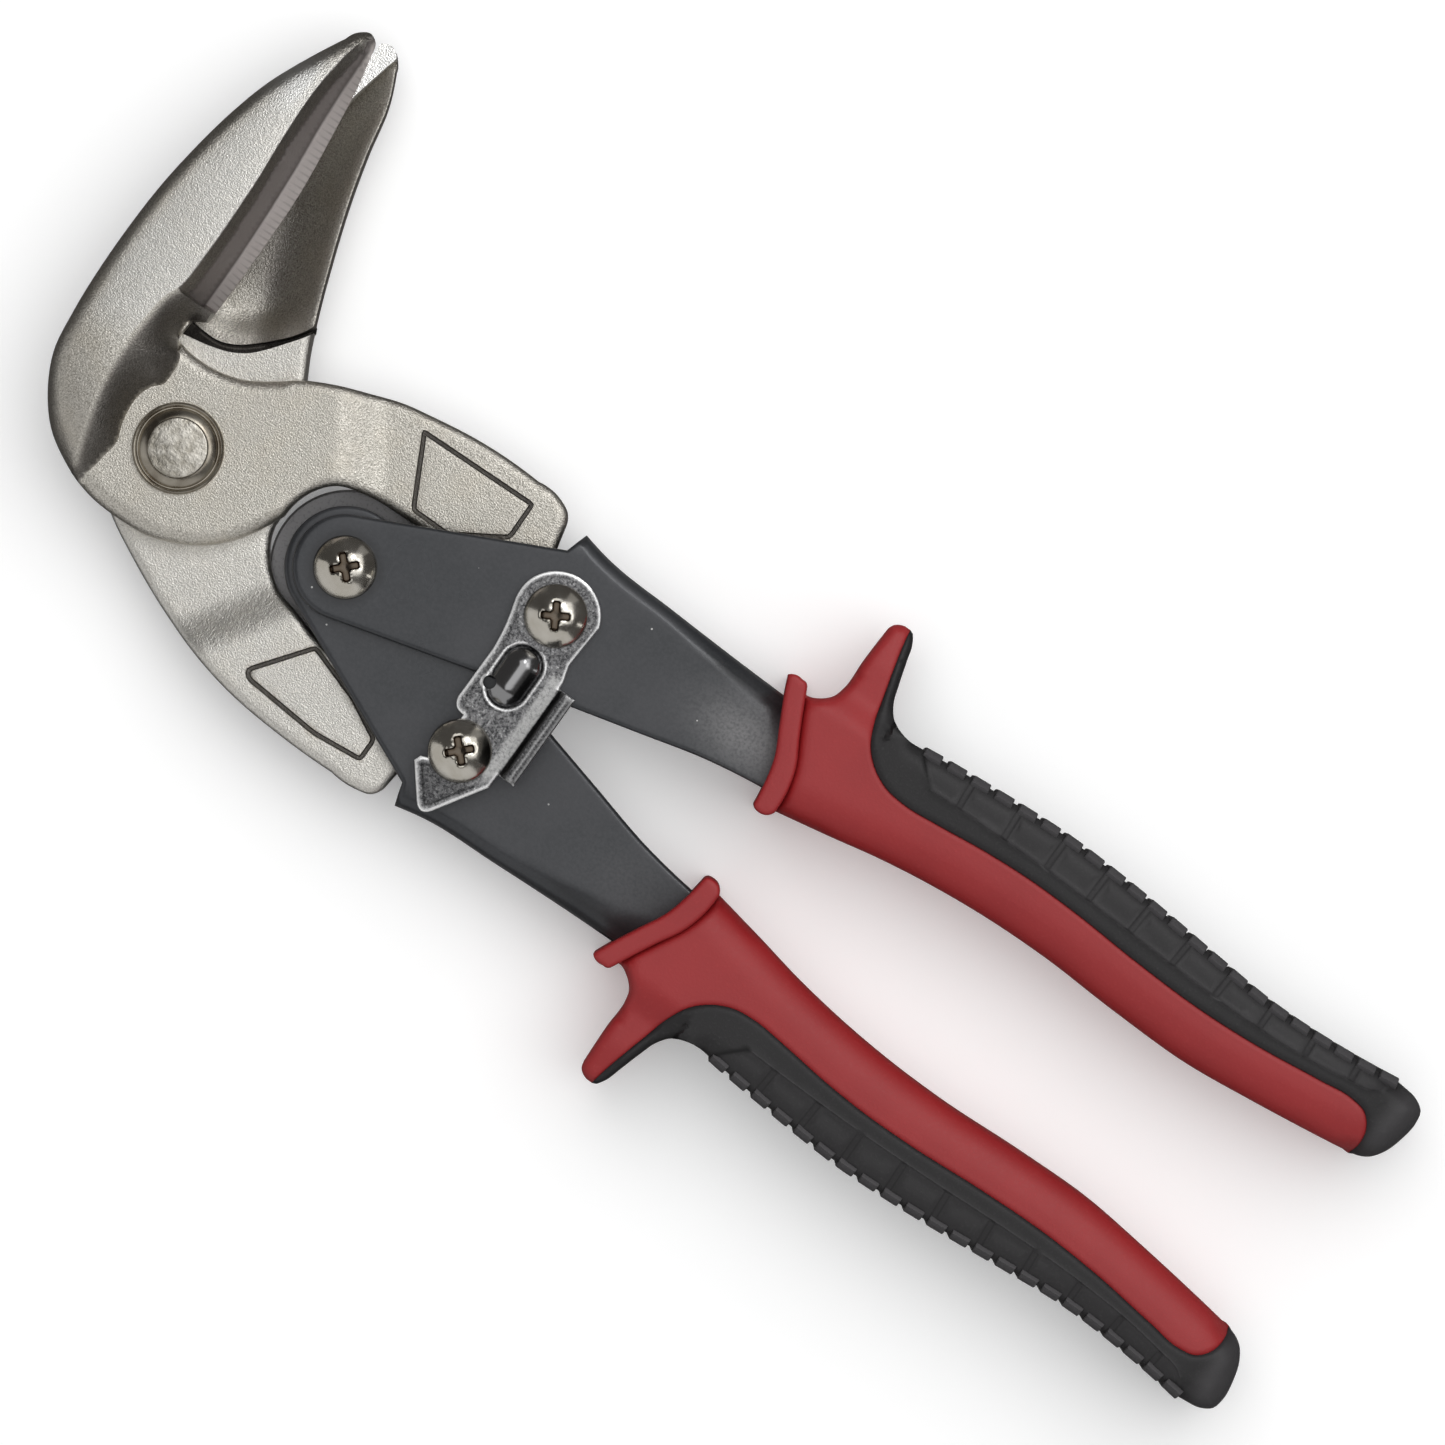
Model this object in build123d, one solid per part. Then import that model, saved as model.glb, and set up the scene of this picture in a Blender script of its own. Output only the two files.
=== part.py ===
from build123d import *
import math
import os

# Aviation snips, left cutting, lying on one side with the latch closed.
# All sizes are in millimetres. While modelling, the blade pivot is at the origin,
# X runs along the centre line towards the grips, Y towards the jaws and Z is the
# pivot direction, with the shear plane at Z = 0.

# ---- Linkage ----
HANDLE_PIVOT = (32.9, 0.0)
UPPER_LINK = (64.9, 13.2)
LOWER_LINK = (64.9, -13.2)

# ---- Levels across the thickness ----
SHEAR_GAP = 0.05            # each blade's flat stands this far from the shear plane
BLADE_FLAT = 4.6            # outer face of a blade round its pivot
TAIL_HALF = 2.5             # half thickness of a blade tail
JAW_TOP = 11.0              # crown of a jaw
LOWER_INNER, LOWER_OUTER = 2.7, 4.6     # lower handle plates, measured from Z = 0
UPPER_INNER, UPPER_OUTER = 4.7, 6.7     # upper handle plates, outside the lower ones
LATCH_BOTTOM, LATCH_TOP = 6.8, 8.8
CORE_HALF = 11.0            # red core of a grip
COVER_HALF = 11.6           # black cover and collars, the faces that it lies on

# ---- Pins, screws and bores ----
PIN_RADIUS = 4.9
COLLAR_RADIUS = 7.4
COLLAR_RIM = 0.7            # height of its outer rim
COLLAR_HEIGHT = 1.7         # height of its cone against the pin
SHANK_RADIUS = 3.0
RUN_FIT = 0.06              # radial clearance where one body turns on another
SEAT_FIT = 0.02             # radial clearance where a piece sits fast in its own body
AXIAL_GAP = 0.1             # gap between faces that slide on each other
HEAD_RADIUS = 5.15
HEAD_HEIGHT = 3.0
HEAD_RIM = 0.5              # straight edge below the dome
NECK_RADIUS = 2.2           # neck of the lower link screw, which the latch hooks
BUSH_RADIUS = 4.5
OPEN_PIVOT_GAP = 0.3        # radial play at the lower link, where the linkage is open
NUT_FLATS = 9.5
NUT_HEIGHT = 3.9
PIN_END = 6.4               # the pin's low domes start at this height
PIN_RISE = 0.6              # height of a dome
RECESS_LENGTH, RECESS_WIDTH, RECESS_DEPTH = 5.2, 1.5, 1.8
WASHER_RADIUS = 6.2
WASHER_THICKNESS = 0.6
TAIL_WASHER_RADIUS = 6.6
SPACER_RADIUS = 4.6
SPRING_RADIUS = 6.6
SPRING_WIRE = 1.5
SPRING_TURNS = 2
SPACER_HALF = LOWER_INNER - AXIAL_GAP
WASHER_LOW = LATCH_TOP + AXIAL_GAP

# ---- Blades ----
SPAN = 130.0                # longer than any blade, for the bar that it is cut from
TAIL_END_RADIUS = 8.8
JOG_CLEAR = 6.0             # the blade is flat up to here, measured along the centre line
JOG_LENGTH = 9.0
JOG_SKEW = 32.0             # the jog's line leans this far from straight across, in degrees
JAW_RISE_FROM = 3.0         # the raised back of a jaw starts at this height
HOLLOW_DEPTH = 6.5
PANEL_DEPTH = 0.5

# ---- Handles and latch ----
UPPER_END_RADIUS = 8.5
LOWER_END_RADIUS = 9.9
GUARD_DISC_RADIUS = 12.8    # large end of the upper handle's back plate
FOLD_RADIUS = 3.2
CHANNEL_END = 200.0         # the folded handles end here, inside the grips
LATCH_END_RADIUS = 7.2
TAB_TOP = 13.6
TAB_ROOT = 72.0             # the thumb tab bends up from here
TAB_BEND = 1.2              # its inner bend radius
TAB_LOW, TAB_HIGH = -12.8, 4.0
EMBOSS_CENTRE = (65.1, 1.5)
EMBOSS_LENGTH, EMBOSS_WIDTH, EMBOSS_RISE = 10.8, 6.6, 1.6
KEEPER_HOLE = (62.4, -1.5)
KEEPER_RADIUS = 1.1
CORE_RIB_HALF = 7.5         # the core's rib under the black cover
LOWER_GRIP_SHIFT = 0.5      # the lower grip sits this much further back

# ---- Treads along each grip ----
TREAD_COUNT = 22
TREAD_FIRST, TREAD_LAST = 0.035, 0.98   # places along the outer edge, from 0 to 1
TREAD_LENGTH = 3.2
TREAD_HEIGHT = 2.4
TREAD_RISE = 0.6
TREAD_HALF = 9.0


def outline(start, *runs):
    """Closed face made of runs: one more point is a line, two an arc, more a smooth curve."""
    edges = []
    here = start
    for run in runs:
        points = [here] + list(run)
        if len(points) == 2:
            edges.append(Line(*points))
        elif len(points) == 3:
            edges.append(ThreePointArc(*points))
        else:
            edges.append(Spline(*points))
        here = points[-1]
    return make_face(edges)


def slab(face, low, high):
    """Plate with the given outline between two levels."""
    return extrude(Pos(0, 0, low) * face, amount=high - low)


def disc(centre, radius, low, high):
    """Round plate or plug on a pivot line."""
    return slab(Pos(*centre) * Circle(radius), low, high)


def ring(centre, outer, inner, low, high):
    """Flat ring on a pivot line."""
    return disc(centre, outer, low, high) - disc(centre, inner, low - 1, high + 1)


def polar(centre, radius, degrees):
    """Point on a circle."""
    angle = math.radians(degrees)
    return (centre[0] + radius * math.cos(angle), centre[1] + radius * math.sin(angle))


def flip(shape):
    """Mirror image about the centre line."""
    return mirror(shape, about=Plane.XZ)


# ---- Blades ----
def blade_plate(face, jog_point, skew, side):
    """Blade of even thickness, flat at the pivot and jogged to the middle for its tail."""
    angle = math.radians(skew)
    across = Plane(
        origin=(jog_point[0], jog_point[1], 0),
        x_dir=(math.cos(angle), math.sin(angle), 0),
        z_dir=(math.sin(angle), -math.cos(angle), 0),
    )
    points = [(-SPAN, side * SHEAR_GAP), (0, side * SHEAR_GAP), (JOG_LENGTH, -side * TAIL_HALF)]
    points += [(SPAN, -side * TAIL_HALF), (SPAN, side * TAIL_HALF), (JOG_LENGTH, side * TAIL_HALF)]
    points += [(0, side * BLADE_FLAT), (-SPAN, side * BLADE_FLAT)]
    bar = extrude(across * make_face(Polyline(*points, close=True)), amount=SPAN, both=True)
    jaw_side = Pos(JOG_CLEAR - SPAN, 0) * Rectangle(2 * SPAN, 2 * SPAN)
    levels = sorted((side * SHEAR_GAP, side * BLADE_FLAT))
    return slab(face & jaw_side, *levels) + (slab(face - jaw_side, -JAW_TOP, JAW_TOP) & bar)


def jaw_back(foot, crown, side, top):
    """Raised back of a jaw, sloping in from its foot to its crown."""
    return loft([Pos(0, 0, side * JAW_RISE_FROM) * foot, Pos(0, 0, side * top) * crown], ruled=True)


def jaw_hollow(mouth, bottom, side):
    """Hollow behind a jaw's cutting edge, open at the shear plane."""
    return loft([mouth, Pos(0, 0, side * HOLLOW_DEPTH) * bottom], ruled=True)


def upper_blade():
    face = outline(
        (-8.0, 19.2),
        [(-10.2, 17.8)],
        [(-10.4, 14.2)],
        [(-4.0, 13.5), (5.0, 16.8), (16.0, 23.5), (30.0, 27.8), (50.0, 29.1)],
        [(56.2, 28.3), (57.8, 25.3)],
        [(58.7, 21.6)],
        [polar(UPPER_LINK, TAIL_END_RADIUS, 122)],
        [polar(UPPER_LINK, TAIL_END_RADIUS, 0), polar(UPPER_LINK, TAIL_END_RADIUS, -110)],
        [(44.0, 11.8)],
        [(36.0, 12.0), (28.0, 11.2), (22.5, 8.3), (20.0, 1.0)],
        [(17.0, -5.0), (8.0, -12.8), (-4.0, -14.8), (-16.0, -11.2), (-23.8, -2.0)],
        [(-26.3, 8.0), (-27.0, 22.0), (-26.2, 36.0), (-24.0, 49.0), (-18.0, 65.0)],
        [(-15.6, 70.3), (-13.3, 72.0), (-11.8, 70.0)],
        [(-9.1, 54.0), (-7.9, 38.0), (-8.0, 19.2)],
    )
    foot = outline(
        (-10.6, 19.5),
        [(-10.2, 40.0), (-11.6, 56.0), (-13.6, 69.5)],
        [(-17.2, 65.0)],
        [(-23.4, 49.0), (-26.2, 28.0), (-25.8, 8.0), (-23.3, -1.6)],
        [(-19.0, -7.6), (-12.6, -12.0)],
        [(-10.6, 2.0), (-12.6, 12.0), (-10.6, 19.5)],
    )
    crown = outline(
        (-13.8, 21.5),
        [(-14.0, 40.0), (-15.4, 54.0), (-15.4, 64.0)],
        [(-17.0, 63.0)],
        [(-21.6, 48.0), (-24.0, 28.0), (-23.7, 9.0), (-21.2, 0.0)],
        [(-19.4, -4.2), (-15.2, -8.0)],
        [(-16.4, 3.0), (-16.0, 14.0), (-13.8, 21.5)],
    )
    mouth = outline(
        (-11.6, 22.0),
        [(-11.2, 40.0), (-12.6, 54.0), (-14.2, 64.0)],
        [(-17.0, 62.0)],
        [(-21.8, 48.0), (-23.6, 30.0), (-22.0, 16.0)],
        [(-16.0, 17.0), (-11.6, 22.0)],
    )
    bottom = outline(
        (-15.4, 27.0),
        [(-15.4, 38.0), (-16.0, 48.0), (-16.6, 57.0)],
        [(-17.4, 56.0)],
        [(-20.0, 46.0), (-21.4, 32.0), (-20.6, 22.0)],
        [(-17.6, 22.4), (-15.4, 27.0)],
    )
    panel = make_face(Polyline((30.5, 25.2), (51.2, 25.8), (51.4, 19.0), (36.0, 14.4), close=True))
    blade = blade_plate(face, (15.0, 22.6), JOG_SKEW, 1)
    blade += jaw_back(foot, crown, 1, JAW_TOP)
    blade -= jaw_hollow(mouth, bottom, 1)
    blade -= slab(panel, TAIL_HALF - PANEL_DEPTH, JAW_TOP)
    blade -= disc((0, 0), PIN_RADIUS + SEAT_FIT, -1, JAW_TOP)
    blade -= disc(UPPER_LINK, BUSH_RADIUS + SEAT_FIT, -JAW_TOP, JAW_TOP)
    return blade


def lower_blade():
    face = outline(
        (-11.2, 17.0),
        [(-14.0, 6.0), (-12.5, -6.0), (-2.5, -15.0)],
        [(8.0, -20.5), (20.0, -25.1), (34.0, -27.9), (50.0, -28.2)],
        [(56.7, -27.8), (58.3, -25.3)],
        [(58.7, -21.6)],
        [polar(LOWER_LINK, TAIL_END_RADIUS, -122)],
        [polar(LOWER_LINK, TAIL_END_RADIUS, 0), polar(LOWER_LINK, TAIL_END_RADIUS, 110)],
        [(44.0, -11.8)],
        [(36.0, -12.0), (28.0, -10.4), (22.5, -6.8), (19.5, -1.0)],
        [(18.6, 5.0), (14.0, 13.5), (10.0, 20.8)],
        [(4.0, 33.8), (-1.0, 48.5), (-4.3, 62.0), (-7.0, 69.5)],
        [(-9.3, 72.4), (-11.5, 71.8)],
        [(-11.8, 56.0), (-11.4, 38.0), (-11.2, 17.0)],
    )
    foot = outline(
        (-9.8, 19.5),
        [(-9.6, 38.0), (-10.0, 56.0), (-10.4, 70.4)],
        [(-7.8, 69.0)],
        [(-5.0, 61.5), (-1.6, 48.0), (3.4, 33.4), (9.2, 20.4)],
        [(12.6, 13.4), (15.0, 5.0)],
        [(10.0, 10.5), (2.0, 15.4), (-9.8, 19.5)],
    )
    crown = outline(
        (-6.0, 25.0),
        [(-6.6, 38.0), (-7.8, 51.0), (-8.8, 63.0)],
        [(-7.8, 62.6)],
        [(-6.6, 57.0), (-4.0, 46.0), (1.2, 32.0), (7.0, 19.4)],
        [(9.2, 16.0), (11.4, 11.4)],
        [(8.4, 13.8), (2.0, 18.6), (-6.0, 25.0)],
    )
    mouth = outline(
        (-9.0, 17.4),
        [(-8.8, 38.0), (-9.2, 54.0), (-9.4, 68.0)],
        [(-8.0, 67.0)],
        [(-5.2, 57.0), (-2.4, 47.0), (2.2, 34.0), (5.8, 26.0)],
        [(-0.6, 18.8), (-9.0, 17.4)],
    )
    bottom = outline(
        (-6.6, 24.0),
        [(-6.6, 36.0), (-7.2, 45.0), (-7.8, 54.0)],
        [(-7.0, 53.0)],
        [(-6.0, 48.0), (-4.4, 42.0), (-1.4, 33.0), (1.0, 27.4)],
        [(-2.4, 24.0), (-6.6, 24.0)],
    )
    panel = make_face(Polyline((36.2, -13.0), (52.7, -19.6), (52.7, -24.0), (30.5, -23.6), close=True))
    blade = blade_plate(face, (15.0, -21.2), -JOG_SKEW, -1)
    blade += jaw_back(foot, crown, -1, COVER_HALF)
    blade -= jaw_hollow(mouth, bottom, -1)
    blade -= slab(panel, TAIL_HALF - PANEL_DEPTH, JAW_TOP)
    blade -= disc((0, 0), PIN_RADIUS + RUN_FIT, -COVER_HALF, 1)
    blade -= disc(LOWER_LINK, BUSH_RADIUS + SEAT_FIT, -JAW_TOP, JAW_TOP)
    return blade


def blade_pivot_pin():
    """Plain pin with both ends peened into low domes."""
    top = PIN_END + PIN_RISE
    half = Polyline((0, 0), (PIN_RADIUS, 0), (PIN_RADIUS, PIN_END), (PIN_RADIUS - 0.4, top - 0.2), (0, top))
    side = make_face([half, Line((0, top), (0, 0))])
    end = revolve(Plane.XZ * side, axis=Axis.Z)
    return end + mirror(end, about=Plane.XY)


def pivot_collar():
    """Collar with a low cone round the pin's end and a raised outer rim."""
    inner = PIN_RADIUS + SEAT_FIT
    low = BLADE_FLAT
    foot = COLLAR_RADIUS - 0.9
    points = [(inner, low), (COLLAR_RADIUS, low), (COLLAR_RADIUS, low + COLLAR_RIM)]
    points += [(COLLAR_RADIUS - 0.5, low + COLLAR_RIM + 0.3), (foot, low + COLLAR_RIM)]
    points += [(inner + 0.5, low + COLLAR_HEIGHT - 0.3), (inner, low + COLLAR_HEIGHT)]
    return revolve(Plane.XZ * make_face(Polyline(*points, close=True)), axis=Axis.Z)


# ---- Handle channels ----
def channel_outline(end_radius):
    """Plan of a folded handle, from its round end at the pivot to its end inside the grip."""
    return outline(
        polar(HANDLE_PIVOT, end_radius, 117),
        [(60.2, 22.8)],
        [(61.3, 26.6)],
        [(66.0, 25.6), (80.0, 24.8), (101.0, 24.1)],
        [(CHANNEL_END, 22.6)],
        [(CHANNEL_END, 17.6)],
        [(126.0, 14.6)],
        [(108.0, 10.0)],
        [(98.0, 8.5), (86.0, 5.5), (75.0, 2.7)],
        [polar(HANDLE_PIVOT, end_radius, -76)],
        [polar(HANDLE_PIVOT, end_radius, 180), polar(HANDLE_PIVOT, end_radius, 117)],
    )


def channel_space():
    """Plan of the space between the two plates, open at the front and along the inside."""
    return outline(
        (0.0, 40.0),
        [(59.9, 40.0)],
        [(59.9, 22.9)],
        [(61.6, 24.5)],
        [(66.0, 23.6), (80.0, 22.8), (101.0, 22.1)],
        [(CHANNEL_END + 10, 20.6)],
        [(CHANNEL_END + 10, -40.0)],
        [(0.0, -40.0)],
        [(0.0, 40.0)],
    )


def handle_channel(end_radius, inner, outer):
    """Steel sheet folded to a channel: two plates and the web along the outside."""
    body = slab(channel_outline(end_radius), -outer, outer)
    folds = body.edges().filter_by(lambda e: abs(e.center().Z) > outer - 0.1)
    folds = folds.filter_by(lambda e: e.length > 30 and 23 < e.center().Y < 26)
    body = fillet(folds, FOLD_RADIUS)
    return body - slab(channel_space(), -inner, inner)


def upper_handle_channel():
    body = handle_channel(UPPER_END_RADIUS, UPPER_INNER, UPPER_OUTER)
    body += disc(HANDLE_PIVOT, GUARD_DISC_RADIUS, -UPPER_OUTER, -UPPER_INNER)
    for centre in (HANDLE_PIVOT, UPPER_LINK):
        body -= disc(centre, SHANK_RADIUS + SEAT_FIT, -JAW_TOP, JAW_TOP)
    return body


def lower_handle_channel():
    body = flip(handle_channel(LOWER_END_RADIUS, LOWER_INNER, LOWER_OUTER))
    body -= disc(HANDLE_PIVOT, SHANK_RADIUS + RUN_FIT, -JAW_TOP, JAW_TOP)
    body -= disc(LOWER_LINK, SHANK_RADIUS + SEAT_FIT, -JAW_TOP, JAW_TOP)
    return body


# ---- Fasteners ----
def screw_head(centre, seat):
    """Domed head with a cross recess."""
    rise = HEAD_HEIGHT - HEAD_RIM
    sphere = (HEAD_RADIUS ** 2 + rise ** 2) / (2 * rise)
    centre_of_dome = (0.0, HEAD_HEIGHT - sphere)
    rim_angle = math.degrees(math.acos(HEAD_RADIUS / sphere))
    dome = outline(
        (0.0, 0.0),
        [(HEAD_RADIUS, 0.0)],
        [(HEAD_RADIUS, HEAD_RIM)],
        [polar(centre_of_dome, sphere, (rim_angle + 90) / 2), (0.0, HEAD_HEIGHT)],
        [(0.0, 0.0)],
    )
    head = revolve(Plane.XZ * dome, axis=Axis.Z)
    slot = Pos(0, 0, HEAD_HEIGHT) * Box(RECESS_LENGTH, RECESS_WIDTH, RECESS_DEPTH * 2)
    for turn in (45, 135):
        head -= Rot(0, 0, turn) * slot
    return Pos(centre[0], centre[1], seat) * head


def nut(centre, seat):
    """Hexagon lock nut below a plate's back face."""
    hexagon = RegularPolygon(NUT_FLATS / 2, 6, major_radius=False)
    body = slab(Pos(*centre) * hexagon, seat - NUT_HEIGHT, seat)
    crown = disc(centre, NUT_FLATS / 2 - 0.3, seat - NUT_HEIGHT - 0.5, seat - NUT_HEIGHT)
    return body + crown - disc(centre, SHANK_RADIUS + SEAT_FIT, seat - 10, seat + 1)


def handle_pivot_screw():
    seat = UPPER_OUTER
    shank = disc(HANDLE_PIVOT, SHANK_RADIUS, -seat - NUT_HEIGHT - 0.6, seat)
    return screw_head(HANDLE_PIVOT, seat) + shank


def upper_link_screw():
    seat = LATCH_TOP + 2 * AXIAL_GAP + WASHER_THICKNESS
    shank = disc(UPPER_LINK, SHANK_RADIUS, -UPPER_OUTER - NUT_HEIGHT - 0.6, seat)
    return screw_head(UPPER_LINK, seat) + shank


def lower_link_screw():
    """Screw with a shoulder on the plate, a thin neck for the latch and its head above."""
    seat = LATCH_TOP + 2 * AXIAL_GAP
    body = disc(LOWER_LINK, SHANK_RADIUS, -LOWER_OUTER - NUT_HEIGHT - 0.6, LOWER_OUTER)
    body += disc(LOWER_LINK, BUSH_RADIUS, LOWER_OUTER, LATCH_BOTTOM - 0.2)
    body += disc(LOWER_LINK, NECK_RADIUS, LOWER_OUTER, seat)
    return body + screw_head(LOWER_LINK, seat)


def bushing(centre, bore):
    """Plain bush pressed into a blade's tail."""
    return ring(centre, BUSH_RADIUS, bore, -TAIL_HALF, TAIL_HALF)


def tail_washers():
    """Two washers that centre the upper blade's tail between the wider plates."""
    bore = SHANK_RADIUS + SEAT_FIT
    front = ring(UPPER_LINK, TAIL_WASHER_RADIUS, bore, TAIL_HALF + AXIAL_GAP, UPPER_INNER)
    return Compound(children=[front, mirror(front, about=Plane.XY)])


def return_spring():
    """Torsion spring round the spacer, with a leg from each end of its coil."""
    pitch = SPRING_WIRE * 1.08
    height = pitch * SPRING_TURNS
    turns = Helix(pitch, height, SPRING_RADIUS)
    section = Plane(origin=turns @ 0, z_dir=turns % 0) * Circle(SPRING_WIRE / 2)
    coil = sweep(section, path=turns)
    return Pos(HANDLE_PIVOT[0], HANDLE_PIVOT[1], -height / 2) * coil


# ---- Latch ----
def thumb_tab():
    """Tab bent up from the latch's back edge."""
    thickness = LATCH_TOP - LATCH_BOTTOM
    centre = (TAB_ROOT, LATCH_TOP + TAB_BEND)
    outside = TAB_BEND + thickness
    section = outline(
        (TAB_ROOT - 1.0, LATCH_BOTTOM),
        [(TAB_ROOT, LATCH_BOTTOM)],
        [polar(centre, outside, -45), polar(centre, outside, 0)],
        [(TAB_ROOT + outside, TAB_TOP)],
        [(TAB_ROOT + TAB_BEND, TAB_TOP)],
        [polar(centre, TAB_BEND, 0)],
        [polar(centre, TAB_BEND, -45), (TAB_ROOT, LATCH_TOP)],
        [(TAB_ROOT - 1.0, LATCH_TOP)],
        [(TAB_ROOT - 1.0, LATCH_BOTTOM)],
    )
    return Pos(0, TAB_HIGH, 0) * extrude(Plane.XZ * section, amount=TAB_HIGH - TAB_LOW)


def latch():
    """Plate that swings on the upper link and hooks the neck of the lower link screw."""
    plate = outline(
        (58.2, 11.0),
        [polar(UPPER_LINK, LATCH_END_RADIUS, 130), polar(UPPER_LINK, LATCH_END_RADIUS, 20)],
        [(71.2, 8.0)],
        [(TAB_ROOT, 5.2)],
        [(TAB_ROOT, -15.4)],
        [(66.8, -23.6)],
        [(65.4, -24.6), (63.9, -23.7)],
        [(59.8, -18.6)],
        [(60.2, -17.5)],
        [(64.3, -15.7)],
        [(67.35, -13.4), (65.4, -10.8)],
        [(62.0, -9.6)],
        [(62.0, -8.2)],
        [(60.3, -7.7), (59.6, -6.2)],
        [(59.7, 3.0)],
        [(58.2, 11.0)],
    )
    body = slab(plate, LATCH_BOTTOM, LATCH_TOP)
    oblong = Pos(*EMBOSS_CENTRE) * SlotOverall(EMBOSS_LENGTH, EMBOSS_WIDTH, rotation=90)
    stud = slab(oblong, LATCH_TOP - 0.5, LATCH_TOP + EMBOSS_RISE)
    body += fillet(stud.edges().group_by(Axis.Z)[-1], EMBOSS_RISE * 0.8)
    body += thumb_tab()
    body -= disc(UPPER_LINK, SHANK_RADIUS + RUN_FIT, 0, COVER_HALF)
    return body - disc(KEEPER_HOLE, KEEPER_RADIUS, 0, COVER_HALF)


# ---- Grips, drawn for the upper handle ----
def collar_outline():
    """Slanted flange at the front of a grip."""
    return outline(
        (100.6, 27.2),
        [(104.0, 19.8)],
        [(106.4, 15.0), (107.5, 11.0), (107.9, 7.6)],
        [(108.9, 6.7)],
        [(111.0, 7.0)],
        [(111.6, 8.2)],
        [(111.2, 12.5), (108.6, 18.5), (104.2, 27.2)],
        [(103.4, 27.8)],
        [(101.2, 27.8)],
        [(100.6, 27.2)],
    )


BOUNDARY = [
    [(217.6, 22.2), (213.0, 24.2)],
    [(200.0, 22.8), (185.0, 21.8), (160.0, 22.8), (140.0, 22.2), (127.0, 20.9)],
    [(119.4, 24.2), (115.6, 31.0), (113.8, 38.0), (112.2, 44.4)],
]
TREAD_EDGE = [(123.6, 29.7), (135.0, 30.8), (152.0, 31.8), (172.0, 30.8), (194.0, 29.0), (217.8, 30.7)]


def core_outline():
    """Red part of a grip as seen from the side, with the front of its horn."""
    return outline(
        (111.5, 8.1),
        [(130.0, 11.7), (150.0, 13.9), (188.0, 13.4), (218.0, 17.0)],
        *BOUNDARY,
        [(110.2, 44.0), (109.3, 42.0)],
        [(109.4, 30.0)],
        [(108.2, 27.6), (104.2, 26.2)],
        [(107.6, 20.0), (110.3, 14.5), (111.5, 8.1)],
    )


def cover_outline():
    """Whole back of a grip: behind the horn, the treads' strip and the end cap."""
    return outline(
        (218.0, 17.0),
        *BOUNDARY,
        [(113.5, 43.8), (114.3, 41.6)],
        [(116.0, 35.6), (118.6, 31.2), TREAD_EDGE[0]],
        TREAD_EDGE[1:],
        [(222.4, 29.8), (224.3, 27.4)],
        [(223.8, 23.0), (222.4, 19.4), (218.0, 17.0)],
    )


def core_rib():
    """Inner part of the red core, which the black cover wraps."""
    face = outline(
        (122.0, 20.0),
        [(122.0, 26.5)],
        [(150.0, 28.4), (185.0, 26.4), (212.0, 27.6)],
        [(220.0, 24.0), (214.0, 20.0)],
        [(122.0, 20.0)],
    )
    return slab(face, -CORE_RIB_HALF, CORE_RIB_HALF)


def tread_blocks():
    """Row of small blocks standing on the outer edge."""
    edge = Spline(*TREAD_EDGE)
    blocks = []
    for number in range(TREAD_COUNT):
        along = TREAD_FIRST + (TREAD_LAST - TREAD_FIRST) * number / (TREAD_COUNT - 1)
        place = edge @ along
        tangent = edge % along
        slope = math.degrees(math.atan2(tangent.Y, tangent.X))
        block = Pos(0, TREAD_RISE - TREAD_HEIGHT / 2) * Box(TREAD_LENGTH, TREAD_HEIGHT, 2 * TREAD_HALF)
        blocks.append(Pos(place.X, place.Y) * Rot(0, 0, slope) * block)
    return blocks


def grip_core(channel):
    """Red part, moulded round and into the folded handle."""
    collar = slab(collar_outline(), -COVER_HALF, COVER_HALF)
    return collar + slab(core_outline(), -CORE_HALF, CORE_HALF) + core_rib() - channel


def grip_cover(channel):
    body = slab(cover_outline(), -COVER_HALF, COVER_HALF)
    for block in tread_blocks():
        body += block
    return body - core_rib() - channel


# ---- Assembly ----
front_collar = pivot_collar()
spacer = ring(HANDLE_PIVOT, SPACER_RADIUS, SHANK_RADIUS + SEAT_FIT, -SPACER_HALF, SPACER_HALF)
washer_top = WASHER_LOW + WASHER_THICKNESS
washer = ring(UPPER_LINK, WASHER_RADIUS, SHANK_RADIUS + SEAT_FIT, WASHER_LOW, washer_top)
upper_channel = upper_handle_channel()
lower_channel = lower_handle_channel()
to_lower = Pos(LOWER_GRIP_SHIFT, 0, 0)
in_lower_grip = to_lower.inverse() * flip(lower_channel)

nodes = {
    "upper_blade": upper_blade(),
    "lower_blade": lower_blade(),
    "blade_pivot_pin": blade_pivot_pin(),
    "pivot_collar_front": front_collar,
    "pivot_collar_back": mirror(front_collar, about=Plane.XY),
    "upper_handle_channel": upper_channel,
    "lower_handle_channel": lower_channel,
    "handle_pivot_screw": handle_pivot_screw(),
    "handle_pivot_nut": nut(HANDLE_PIVOT, -UPPER_OUTER),
    "handle_pivot_spacer": spacer,
    "return_spring": return_spring(),
    "upper_link_screw": upper_link_screw(),
    "upper_link_nut": nut(UPPER_LINK, -UPPER_OUTER),
    "upper_tail_bush": bushing(UPPER_LINK, SHANK_RADIUS + RUN_FIT),
    "upper_tail_washers": tail_washers(),
    "lower_link_screw": lower_link_screw(),
    "lower_link_nut": nut(LOWER_LINK, -LOWER_OUTER),
    "lower_tail_bush": bushing(LOWER_LINK, SHANK_RADIUS + OPEN_PIVOT_GAP),
    "latch": latch(),
    "latch_washer": washer,
    "upper_grip_core": grip_core(upper_channel),
    "upper_grip_cover": grip_cover(upper_channel),
    "lower_grip_core": flip(to_lower * grip_core(in_lower_grip)),
    "lower_grip_cover": flip(to_lower * grip_cover(in_lower_grip)),
}

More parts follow.
